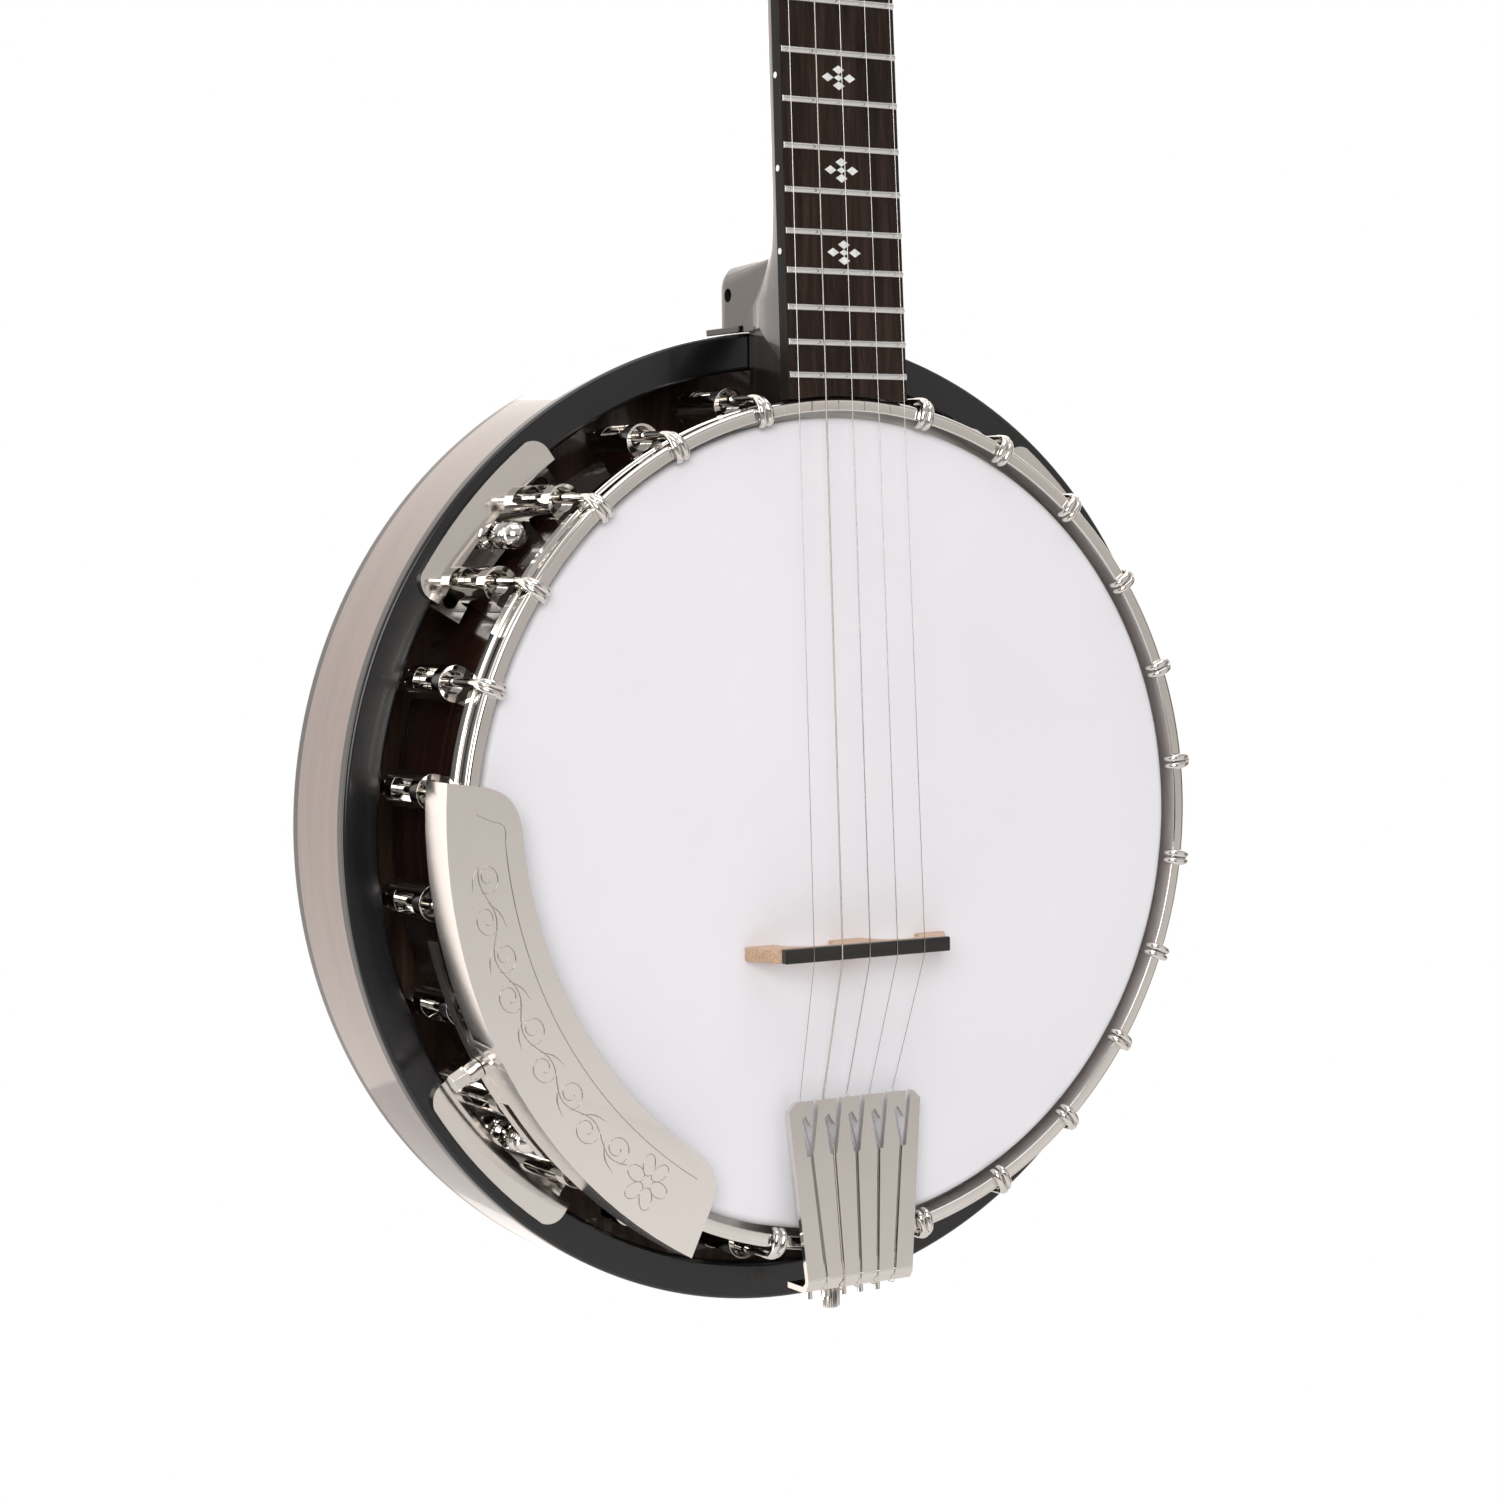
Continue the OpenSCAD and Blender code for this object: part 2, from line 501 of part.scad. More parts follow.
// ---------------------------------------------------------------- bridge
cap_h = 3;
module bridge_outline(top) {
    half = bridge_foot / 2;
    crest = half - 6.8;
    polygon(concat([[-half, 0], [-half, -2.4], [-crest, top], [crest, top], [half, -2.4], [half, 0],
        [half - 9, 0]], arc_pts(half - 22.5, 0, 11, 0, -180, 10), [[half - 36, 0], [36 - half, 0]],
        arc_pts(22.5 - half, 0, 11, 0, -180, 10), [[9 - half, 0]]));
}
module bridge_body() color(c_maple) pot() translate([0, -touch, -bridge_drop - bridge_w / 2])
    linear_extrude(bridge_w) bridge_outline(cap_h - bridge_h);
module bridge_cap() color(c_black) pot() {
    crest = bridge_foot / 2 - 6.8;
    translate([0, -touch, -bridge_drop - bridge_w / 2]) linear_extrude(bridge_w)
        polygon([[-crest, cap_h - bridge_h], [crest, cap_h - bridge_h], [crest, -bridge_h], [-crest, -bridge_h]]);
}

// ---------------------------------------------------------------- strings
function bridge_x(k) = (2 - k) * bridge_gap;
// Route of a string from the bridge down to its pin, k = 0 being the first string
function low_route(k) = let (r = string_r[k], j = 4 - k, lift = r + 0.03,
    c = cos(tail_lean), s = sin(tail_lean),
    on = function (x, y, z) [x, tail_end_y + y * c + z * s, -tail_end - y * s + z * c],
    top = -bridge_h - touch - lift, half_w = bridge_w / 2 + 0.3, coil = (1.1 + r + 0.06) / cos(22.5))
    [for (v = concat([[bridge_x(k), top, half_w - bridge_drop], [bridge_x(k), top, -half_w - bridge_drop],
        on(slot_x(j, tail_h - 12) - 1.9, tail_t + lift + 0.1, tail_h + 1),
        on(slot_x(j, tail_h - 12) - 1.6, tail_t + lift, tail_h - 5),
        on(slot_x(j, tail_h - 17), -lift + 0.3, tail_h - 17),
        on(slot_x(j, tail_h - 19), -lift + 0.6, tail_h - 20),
        on(slot_x(j, 6), -lift + 0.6, 6),
        on(slot_x(j, 1.5), -lift, 1.5),
        [slot_x(j, 0), tail_end_y - lift, -tail_end - 0.5],
        [slot_x(j, 0), tail_end_y - lift - 0.05, 1.1 - flange_z],
        [slot_x(j, 0), tail_end_y - lift + 0.9, -flange_z - 1.8 - lift],
        [slot_x(j, 0), tail_end_y + 3.4, -flange_z - tail_t - lift - 0.1]],
        [for (i = [0:6]) [slot_x(j, 0) + coil * cos(45 * i - 30), pin_y + coil * sin(45 * i - 30),
            -flange_z - tail_t - lift - 0.3 - 0.25 * i]])) from_pot(v)];
function wrap(cx, cz, r, a0, turns, y0, rise) = [for (i = [0:12 * turns])
    [cx + r * cos(a0 + 30 * i), y0 + rise * i / 12, cz + r * sin(a0 + 30 * i)]];
function long_route(k) = let (spot = post_spots[k], side = sign(spot.x), r = string_r[k],
    reach = (waist_r + slip + r + 0.02) / cos(15),
    up = [for (v = wrap(spot.x, spot.y, reach, 20, 2, wrap_y, 0.75))
        side < 0 ? v : [2 * spot.x - v.x, v.y, v.z]])
    concat([for (i = [len(up) - 1:-1:0]) from_peg(up[i])],
        [from_neck([bridge_x(k) - (2 - k) * fan * (nut_to_pot + bridge_drop), -nut_r_top - r, nut_t]),
            from_neck([bridge_x(k) - (2 - k) * fan * (nut_to_pot + bridge_drop), -nut_r_top - r, 0])],
        low_route(k));
function fifth_route() = let (r = string_r[4], reach = (peg5_post_r + slip + r) / cos(15),
    x = -2 * (bridge_gap - fan * (nut_to_pot + bridge_drop - fifth_s)))
    concat([for (i = [20:-1:0]) from_neck([-27.5 - 0.03 * i, peg5_y + reach * sin(-60 - 30 * i),
            -peg5_s - reach * cos(-60 - 30 * i)])],
        [from_neck([x, -nut_r_top - r, -fifth_s + 1.3]), from_neck([x, -nut_r_top - r, -fifth_s - 2.1])],
        low_route(4));
module string_1() color(c_steel) tube(long_route(0), string_r[0]);
module string_2() color(c_steel) tube(long_route(1), string_r[1]);
module string_3() color(c_steel) tube(long_route(2), string_r[2]);
module string_4() color(c_brass) tube(long_route(3), string_r[3]);
module string_5() color(c_steel) tube(fifth_route(), string_r[4]);

// ---------------------------------------------------------------- neck
function neck_ring(s, xl, xr, depth, power = 1.15) =
    let (a = (xr - xl) / 2, m = (xl + xr) / 2)
    concat([[xl, board_t, -s], [xr, board_t, -s]], [for (i = [1:14])
        [m + a * cos(12 * i), board_t + depth * pow(sin(12 * i), power), -s]]);
module loft(rings) {
    n = len(rings[0]);
    m = len(rings);
    walls = [for (i = [0:m - 2], k = [0:n - 1])
        let (a = i * n + k, b = i * n + (k + 1) % n) each [[a, b, b + n], [a, b + n, a + n]]];
    caps = [[for (k = [n - 1:-1:0]) k], [for (k = [0:n - 1]) (m - 1) * n + k]];
    polyhedron(points = [for (r = rings) each r], faces = concat(walls, caps), convexity = 6);
}
heel_s = board_len - 66;
heel_half = 17.5;
heel_round = 10;
heel_back = 57.5;
heel_top = res_r + 15.5;
cap_low = res_r + 0.4;
cap_top = cap_low + 2.3;
strap_r = 2.4;
strap_len = 14;
strap_at = [-heel_half, heel_back - heel_round - 2, heel_top - 2.5];
heel_low = cap_top - 3;
tenon_half = 15;
tenon_front = collar_h + flesh_t + 0.5;
tenon_back = lip_y - 0.8;
module peghead_outline() {
    half = nut_half;
    polygon(concat([[-half, 0], [half, 0], [half + 1.5, 14], [half + 13, 30], [half + 15, 50],
        [half + 10.5, 66], [half + 12.5, 84], [half + 15, 104], [half + 11, 118], [half + 3, 124],
        [9, 128]], arc_pts(0, 132, 9, -26, 206, 10), [[-9, 128], [-half - 3, 124],
        [-half - 11, 118], [-half - 15, 104], [-half - 12.5, 84], [-half - 10.5, 66],
        [-half - 15, 50], [-half - 13, 30], [-half - 1.5, 14]]));
}
module heel() pot() {
    hull() {
        for (side = [-1, 1]) translate([side * (heel_half - heel_round), heel_back - heel_round, cap_top - 3])
            cylinder(r = heel_round, h = heel_top - cap_top, $fn = 32);
        for (side = [-1, 1]) translate([side * (heel_half - heel_round), heel_back - heel_round, heel_top])
            sphere(r = heel_round, $fn = 32);
        translate([-heel_half, 8, cap_top - 3]) cube([2 * heel_half, 1, heel_top + 12 - cap_top]);
    }
}
// The last ring of the shaft, a little way inside the peghead
function head_ring() = let (c = cos(peg_tilt), s = sin(peg_tilt), a = nut_half - 0.6, y0 = veneer_t + 0.4,
    y1 = veneer_t + peghead_t - 0.4, z = 10)
    [for (v = concat([[-a, y0], [a, y0]], [for (i = [1:14]) [a * cos(12 * i), y0 + (y1 - y0) * pow(sin(12 * i), 0.3)]]))
        [v.x + nut_cx, v.y * c + z * s, nut_t - v.y * s + z * c]];
module neck_shaft() neck_frame() loft([head_ring(),
    neck_ring(0, -nut_bass, edge_x(0), neck_depth),
    neck_ring(shoulder_s - 24, -bass_x(shoulder_s), edge_x(shoulder_s - 24), neck_depth + 0.5),
    neck_ring(peg5_s - 4, -edge_x(peg5_s), edge_x(peg5_s), neck_depth + 1),
    neck_ring(heel_s, -edge_x(heel_s), edge_x(heel_s), neck_depth + 1.5),
    neck_ring(heel_s + 14, -edge_x(heel_s + 14), edge_x(heel_s + 14), neck_depth + 5, 1.1),
    neck_ring(heel_s + 22, -edge_x(heel_s + 22), edge_x(heel_s + 22), neck_depth + 14, 1.05),
    neck_ring(heel_s + 31, -edge_x(heel_s + 31), edge_x(heel_s + 31), neck_depth + 26, 1),
    neck_ring(board_len, -board_half, board_half, neck_depth + 28, 1)]);
// What lies below the heel's slanting front: only the tenon goes on from there to the rim
module below_heel() pot() translate([-60, 0, 0]) rotate([90, 0, 90]) linear_extrude(120)
    polygon([[-4, pot_r - 10], [90, pot_r - 10], [90, heel_low], [17, heel_low],
        [0.4, heel_low - 12], [-4, heel_low - 14]]);
module tenon() pot() translate([-tenon_half, tenon_front, pot_r])
    cube([2 * tenon_half, tenon_back - tenon_front, heel_low + 2 - pot_r]);
module neck() color(c_neck) difference() {
    union() {
        difference() {
            union() {
                neck_shaft();
                peg_frame() slab(veneer_t, peghead_t + veneer_t) peghead_outline();
                heel();
            }
            below_heel();
        }
        tenon();
    }
    // the nut's seat, and the bed under the fingerboard
    neck_frame() translate([-40, -10, 0]) cube([80, 10 + board_t, nut_t]);
    pot() {
        along_y(-30, 0) cylinder(r = hoop_out + gap, h = 30 + collar_h + flesh_t + gap, $fn = 120);
        along_y(-30, 0) cylinder(r = pot_r + 0.1, h = 100, $fn = 120);
        difference() {
            along_y(lip_y - 0.7, 0) cylinder(r = cap_top + touch, h = 60, $fn = 120);
            translate([-60, 0, -200]) cube([120, 200, 200]);
        }
        for (y = rod_ys) translate([0, y, pot_r - 2]) cylinder(r = bolt_r + slip, h = 26, $fn = 32);
        translate(strap_at) translate([-1, 0, 0]) rotate([0, 90, 0])
            cylinder(r = strap_r, h = strap_len + 1, $fn = 32);
    }
    peg_frame() for (spot = post_spots) along_y(-1, spot.y, spot.x)
        cylinder(r = tuner_hole, h = 40, $fn = 32);
    neck_frame() {
        translate([nut_cx - 3.2, 0, -400]) cube([6.4, board_t + 8, 400 + nut_t + 11]);
        translate([0, peg5_y, -peg5_s]) rotate([0, -90, 0]) translate([0, 0, 7]) cylinder(r = 4.5, h = 30, $fn = 32);
    }
    peg_frame() {
        slab(veneer_t - 1, veneer_t + 6.5) polygon([[-5, -3], [5, -3], [5, 17], [-5, 17]]);
        along_y(-1, cover_holes[1]) cylinder(r = 1.2, h = 10, $fn = 20);
    }
}
module heel_cap() color(c_black) pot() ring_arc(-6.2, 6.2, [[cap_low, lip_y + 0.6], [cap_top, lip_y + 0.6],
    [cap_top, heel_back + 1.5], [cap_low, heel_back + 1.5]]);
rod5_y = board_t + 4;
module truss_rod() color(c_steel) neck_frame() translate([nut_cx, rod5_y, -396])
    cylinder(r = 2.5, h = 396 + nut_t + 3, $fn = 24);
module truss_nut() color(c_brass) neck_frame() translate([nut_cx, rod5_y - 0.1, nut_t + 3.1])
    cylinder(r = 2.9, h = 7, $fn = 6);
module cover_outline() polygon(concat([[-6.5, 3.5], [6.5, 3.5], [8.5, 10]],
    arc_pts(0, 24, 5, 0, 180, 8), [[-8.5, 10]]));
cover_holes = [7, 25];
module truss_cover() color(c_black) peg_frame() difference() {
    slab(-1.6, -touch) cover_outline();
    for (z = cover_holes) along_y(-3, z) cylinder(r = 1.2, h = 6, $fn = 20);
}
module cover_screws() color(c_chrome) peg_frame() for (z = cover_holes) {
    along_y(-1.62 - 0.9, z) cylinder(r = 2, h = 0.9, $fn = 24);
    along_y(-1.7, z) cylinder(r = 1.15, h = 1.6 + (z > 20 ? 8 : 1.5), $fn = 20);
}
module peghead_veneer() color(c_black) peg_frame() difference() {
    slab(0, veneer_t - eps) peghead_outline();
    for (spot = post_spots) along_y(-1, spot.y, spot.x) cylinder(r = tuner_hole, h = 4, $fn = 32);
    slab(-1, veneer_t + 1) polygon([[-5, -3], [5, -3], [5, 17], [-5, 17]]);
    along_y(-1, cover_holes[1]) cylinder(r = 1.2, h = 4, $fn = 20);
    translate([-60, -5, -6]) cube([120, 12, 6.45]);
}

// ---------------------------------------------------------------- fingerboard
module board_outline() {
    polygon([[-nut_bass, 0], [-bass_x(shoulder_s - 7), 7 - shoulder_s], [-edge_x(shoulder_s), -shoulder_s],
        [-board_half, -board_len], [board_half, -board_len], [edge_x(0), 0]]);
}
marks = [3, 5, 7, 10, 12, 15, 17, 19];
function mark_z(k) = -(fret_s(k) + fret_s(k - 1)) / 2;
function mid_x(k) = k > 5 ? 0 : nut_cx;
module diamond(x, z, w = 2.35, h = 1.5) polygon([[x - w, z], [x, z - h], [x + w, z], [x, z + h]]);
module motif(k) {
    for (v = [[-4.4, 0], [4.4, 0], [0, 2.7], [0, -2.7]]) diamond(v.x + mid_x(k), v.y + mark_z(k));
    diamond(mid_x(k), mark_z(k), 1.85, 1.1);
}
inlay_t = 0.6;
dot_r = 1.1;
function low_edge(k) = k > 5 ? edge_x(-mark_z(k)) : bass_x(-mark_z(k));
module side_dot(k, r, h) translate([-low_edge(k) + 0.8, board_t - 1.6, mark_z(k)])
    rotate([0, -90, 0]) cylinder(r = r, h = h, $fn = 20);
module fingerboard() color(c_rosewood) difference() {
    neck_frame() difference() {
        slab(0, board_t - eps) board_outline();
        for (k = marks) slab(-1, inlay_t) motif(k);
        for (k = marks) side_dot(k, dot_r, 2);
        translate([-40, -1, -0.01]) cube([80, 10, 5]);
    }
    pot() along_y(-30, 0) cylinder(r = hoop_out + gap, h = 60, $fn = 120);
}
module frets() color(c_steel) neck_frame() for (k = [1:fret_count]) {
    s = fret_s(k);
    low = s > shoulder_s ? edge_x(s) : bass_x(s);
    intersection() {
        translate([-low + 0.3, 0.2, -s]) rotate([0, 90, 0]) cylinder(r = 1.25, h = low + edge_x(s) - 0.6, $fn = 24);
        translate([-40, -2, -s - 2]) cube([80, 2, 4]);
    }
}
module inlays() color(c_pearl) neck_frame() {
    for (k = marks) slab(-0.02, inlay_t - eps) motif(k);
    for (k = marks) side_dot(k, dot_r - 0.02, 0.82);
}
module nut() color(c_pearl) neck_frame() difference() {
    translate([-nut_bass, -nut_r_top - 0.6, touch]) cube([nut_half * 2, nut_r_top + 0.6 + board_t - touch, nut_t - 2 * touch]);
    for (k = [0:3]) translate([(2 - k) * nut_gap - string_r[k] - slip, -nut_r_top - 2.5, -1])
        cube([2 * (string_r[k] + slip), 2.53, nut_t + 2]);
}
module fifth_nut() color(c_pearl) neck_frame() difference() {
    x = 2 * (bridge_gap - fan * (nut_to_pot + bridge_drop - fifth_s));
    translate([-x, -touch, -fifth_s - 0.4]) rotate([90, 0, 0]) cylinder(r = 1.5, h = nut_r_top + 0.6, $fn = 24);
    translate([-x - string_r[4] - 0.1, -nut_r_top - 2.5, -fifth_s - 4])
        cube([2 * (string_r[4] + 0.1), 2.6, 8]);
}

// ---------------------------------------------------------------- tuners
module tuner_housing() difference() {
    union() {
        along_y(peghead_t + veneer_t + touch, 0) cylinder(r = 9, h = 11, $fn = 48);
        along_y(-touch, 0) cylinder(r = tuner_hole - slip, h = peghead_t + veneer_t + 1, $fn = 32);
        along_y(-2.2, 0) cylinder(r = 7.2, h = 2.2 - touch, $fn = 6);
    }
    along_y(-4, 0) cylinder(r = post_r + slip, h = peghead_t + veneer_t + 8, $fn = 32);
    along_y(peghead_t + veneer_t + 5, 0) cylinder(r = 2 + slip, h = 10, $fn = 32);
}
module tuner_housings() color(c_chrome) peg_frame() for (spot = post_spots)
    translate([spot.x, 0, spot.y]) tuner_housing();
module tuner_post(k) color(c_chrome) peg_frame() translate([post_spots[k].x, 0, post_spots[k].y])
    rotate([-90, 0, 0]) rotate_extrude($fn = 40) polygon([[0, post_top], [post_r - 0.5, post_top],
        [post_r, post_top + 0.5], [post_r, wrap_y - 1.6], [waist_r, wrap_y - 1.1], [waist_r, wrap_y + 2.4],
        [post_r, wrap_y + 3], [post_r, peghead_t + veneer_t + 3.6], [0, peghead_t + veneer_t + 3.6]]);
module button_outline(r) polygon([for (i = [0:23]) let (a = 15 * i)
    [1.35 * r * cos(a), r * (0.86 + 0.14 * cos(4 * a)) * sin(a)]]);
module tuner_button(k) peg_frame() translate([post_spots[k].x, 0, post_spots[k].y]) {
    color(c_steel) along_y(peghead_t + veneer_t + 6, 0) cylinder(r = 2, h = button_y - peghead_t - veneer_t - 5, $fn = 32);
    color(c_pearl) slab(button_y, button_y + 8) button_outline(7.5);
}
module tuner_post_1() tuner_post(0);
module tuner_post_2() tuner_post(1);
module tuner_post_3() tuner_post(2);
module tuner_post_4() tuner_post(3);
module tuner_button_1() tuner_button(0);
module tuner_button_2() tuner_button(1);
module tuner_button_3() tuner_button(2);
module tuner_button_4() tuner_button(3);

// The fifth tuner stands sideways in the neck, its axis across the strings
module fifth_frame() neck_frame() translate([-edge_x(peg5_s), peg5_y, -peg5_s]) rotate([0, -90, 0]) children();
module fifth_tuner_body() color(c_chrome) fifth_frame() difference() {
    union() {
        translate([0, 0, -13]) cylinder(r = 4.45, h = 14, $fn = 32);
        translate([0, 0, 0.8]) cylinder(r = 6, h = 1.6, $fn = 40);
    }
    translate([0, 0, -11]) cylinder(r = 2.05, h = 16, $fn = 32);
}
module fifth_tuner_post() color(c_chrome) fifth_frame() difference() {
    union() {
        translate([0, 0, 2.5]) cylinder(r = peg5_post_r, h = 9, $fn = 32);
        translate([0, 0, -9]) cylinder(r = 2, h = 12, $fn = 32);
    }
    translate([0, 0, -6]) cylinder(r = 1.05, h = 20, $fn = 24);
}
module fifth_tuner_button() fifth_frame() {
    color(c_steel) translate([0, 0, -5]) cylinder(r = 1, h = 17.2, $fn = 24);
    color(c_steel) translate([0, 0, 11.7]) cylinder(r = 5, h = 4, $fn = 32);
    color(c_pearl) translate([0, 0, 15.6]) linear_extrude(8) button_outline(7);
}

rim();
tone_ring();
head_skin();
flesh_hoop();
tension_hoop();
bracket_hooks();
bracket_shoes();
bracket_nuts();
shoe_bolts();
coordinator_rods();
tail_bolts();
hanger_bolts();
resonator_side();
resonator_back();
resonator_lip();
resonator_binding();
resonator_lugs();
lug_inserts();
resonator_brackets();
thumbscrew_1();
thumbscrew_2();
thumbscrew_3();
thumbscrew_4();
armrest_plate();
armrest_clamp();
armrest_screw();
tailpiece_plate();
tailpiece_hanger();
tailpiece_screw();
bridge_body();
bridge_cap();
string_1();
string_2();
string_3();
string_4();
string_5();
neck();
heel_cap();
truss_rod();
truss_nut();
truss_cover();
cover_screws();
fingerboard();
frets();
inlays();
nut();
fifth_nut();
peghead_veneer();
tuner_housings();
tuner_post_1();
tuner_post_2();
tuner_post_3();
tuner_post_4();
tuner_button_1();
tuner_button_2();
tuner_button_3();
tuner_button_4();
fifth_tuner_body();
fifth_tuner_post();
fifth_tuner_button();
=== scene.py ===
import json
import math

import bpy
from bpy.props import FloatProperty, FloatVectorProperty, IntProperty, PointerProperty
from mathutils import Matrix, Vector


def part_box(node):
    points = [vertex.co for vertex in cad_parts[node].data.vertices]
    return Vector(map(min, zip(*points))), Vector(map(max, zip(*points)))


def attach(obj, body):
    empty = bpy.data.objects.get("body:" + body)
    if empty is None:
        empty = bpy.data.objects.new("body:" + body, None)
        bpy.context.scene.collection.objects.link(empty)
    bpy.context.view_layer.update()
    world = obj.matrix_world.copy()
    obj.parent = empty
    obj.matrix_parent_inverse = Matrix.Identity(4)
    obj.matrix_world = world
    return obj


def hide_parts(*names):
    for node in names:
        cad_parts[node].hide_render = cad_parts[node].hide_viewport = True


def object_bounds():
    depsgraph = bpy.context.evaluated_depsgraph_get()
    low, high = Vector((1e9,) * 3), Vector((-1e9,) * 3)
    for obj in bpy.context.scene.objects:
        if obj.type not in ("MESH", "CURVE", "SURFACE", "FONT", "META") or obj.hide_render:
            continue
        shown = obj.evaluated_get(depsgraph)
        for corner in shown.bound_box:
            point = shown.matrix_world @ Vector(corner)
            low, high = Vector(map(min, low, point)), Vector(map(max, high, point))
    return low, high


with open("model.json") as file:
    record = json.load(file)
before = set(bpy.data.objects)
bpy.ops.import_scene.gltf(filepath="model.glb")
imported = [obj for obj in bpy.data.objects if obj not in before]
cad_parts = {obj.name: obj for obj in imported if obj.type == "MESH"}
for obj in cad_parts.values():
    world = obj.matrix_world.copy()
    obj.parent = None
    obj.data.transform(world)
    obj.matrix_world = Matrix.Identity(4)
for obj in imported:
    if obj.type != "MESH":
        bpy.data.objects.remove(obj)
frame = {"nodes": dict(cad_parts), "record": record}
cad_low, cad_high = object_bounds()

bl_info = {
    "name": "Resonator banjo",
    "version": (1, 0, 0),
    "blender": (4, 5, 0),
    "location": "3D View > Sidebar > Banjo",
    "description": "Finishes a five-string resonator banjo piece by piece",
    "category": "Object",
}

MM = 0.001
NODES = frame["nodes"]
BODIES = frame["record"]["behaviour"]["bodies"]
BODY_OF = {node: body for body, nodes in BODIES.items() for node in nodes}

# The centre of the head's playing face
hoop_low, hoop_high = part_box("tension_hoop")
POT = Vector((0.0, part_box("head_skin")[0][1], (hoop_low[2] + hoop_high[2]) / 2))

# Radii from the pot's axis, in mm: an eleven inch head, the resonator, the hoop's bore, the hooks
HEAD_R = 139.7
RES_R = 171.5
HOOP_IN = HEAD_R + 2.6
HOOK_R = 150.0

# Depths behind the head's playing face, in mm
RIM_TOP, RIM_END, RIM_WALL = 7.1, 66.0, 19.0
TONE_RING_END = 7.0
COLLAR_END, FLESH_HOOP_END = 9.2, 12.4
SIDE_TOP, SIDE_END, SIDE_WALL = 41.0, 74.0, 6.0
ARCH_RISE, BACK_WALL = 12.0, 5.0

# Hooks stand on both sides of the pot, by angles in degrees from the neck
FIRST_HOOK, LAST_HOOK, PER_SIDE = 13.0, 168.0, 12
HOOK_STEP = (LAST_HOOK - FIRST_HOOK) / (PER_SIDE - 1)
HOOK_ANGLES = [side * (FIRST_HOOK + k * HOOK_STEP) for side in (-1, 1) for k in range(PER_SIDE)]
PLATE_ANGLES = [side * (FIRST_HOOK + (k + 0.5) * HOOK_STEP) for side in (-1, 1) for k in (2, 8)]


# ------------------------------------------------------------------ materials
def new_material(name, colour, roughness, metallic=0.0, coat=0.0, ior=1.5):
    material = bpy.data.materials.new(name)
    material.use_nodes = True
    tree = material.node_tree
    shader = tree.nodes["Principled BSDF"]
    shader.inputs["Base Color"].default_value = (*colour, 1)
    shader.inputs["Roughness"].default_value = roughness
    shader.inputs["Metallic"].default_value = metallic
    shader.inputs["Coat Weight"].default_value = coat
    shader.inputs["Coat Roughness"].default_value = 0.04
    shader.inputs["IOR"].default_value = ior
    material.diffuse_color = (*colour, 1)
    return material, tree, shader


def object_coordinates(tree, scale):
    where = tree.nodes.new("ShaderNodeTexCoord")
    mapping = tree.nodes.new("ShaderNodeMapping")
    mapping.inputs["Scale"].default_value = scale
    tree.links.new(where.outputs["Object"], mapping.inputs["Vector"])
    return mapping.outputs["Vector"]


def noise(tree, vector, scale, detail=4.0, distortion=0.0, rough=0.55):
    node = tree.nodes.new("ShaderNodeTexNoise")
    node.inputs["Scale"].default_value = scale
    node.inputs["Detail"].default_value = detail
    node.inputs["Roughness"].default_value = rough
    node.inputs["Distortion"].default_value = distortion
    tree.links.new(vector, node.inputs["Vector"])
    return node.outputs["Fac"]


def ramp(tree, factor, stops):
    node = tree.nodes.new("ShaderNodeValToRGB")
    elements = node.color_ramp.elements
    while len(elements) < len(stops):
        elements.new(0.5)
    for element, (place, colour) in zip(elements, stops):
        element.position = place
        element.color = (*colour, 1)
    tree.links.new(factor, node.inputs["Fac"])
    return node.outputs["Color"]


def spread(tree, factor, low, high):
    node = tree.nodes.new("ShaderNodeMapRange")
    node.inputs["From Min"].default_value = 0.3
    node.inputs["From Max"].default_value = 0.7
    node.inputs["To Min"].default_value = low
    node.inputs["To Max"].default_value = high
    tree.links.new(factor, node.inputs["Value"])
    return node.outputs["Result"]


def bump(tree, shader, height, distance, strength=1.0):
    node = tree.nodes.new("ShaderNodeBump")
    node.inputs["Distance"].default_value = distance
    node.inputs["Strength"].default_value = strength
    tree.links.new(height, node.inputs["Height"])
    tree.links.new(node.outputs["Normal"], shader.inputs["Normal"])


def polished_metal(name, colour, roughness, haze, dent=0.00001, tint=0.04):
    """Plated or bare metal with faint hazing and handling marks."""
    material, tree, shader = new_material(name, colour, roughness, metallic=1.0)
    vector = object_coordinates(tree, (1, 1, 1))
    smudge = noise(tree, vector, 38, 5, 0.6)
    fine = noise(tree, vector, 900, 2)
    hazed = spread(tree, smudge, roughness, roughness + haze)
    tree.links.new(hazed, shader.inputs["Roughness"])
    darker = tuple(c * (1 - tint) for c in colour)
    shades = ramp(tree, smudge, [(0.35, darker), (0.65, colour)])
    tree.links.new(shades, shader.inputs["Base Color"])
    bump(tree, shader, fine, dent, 0.25)
    return material


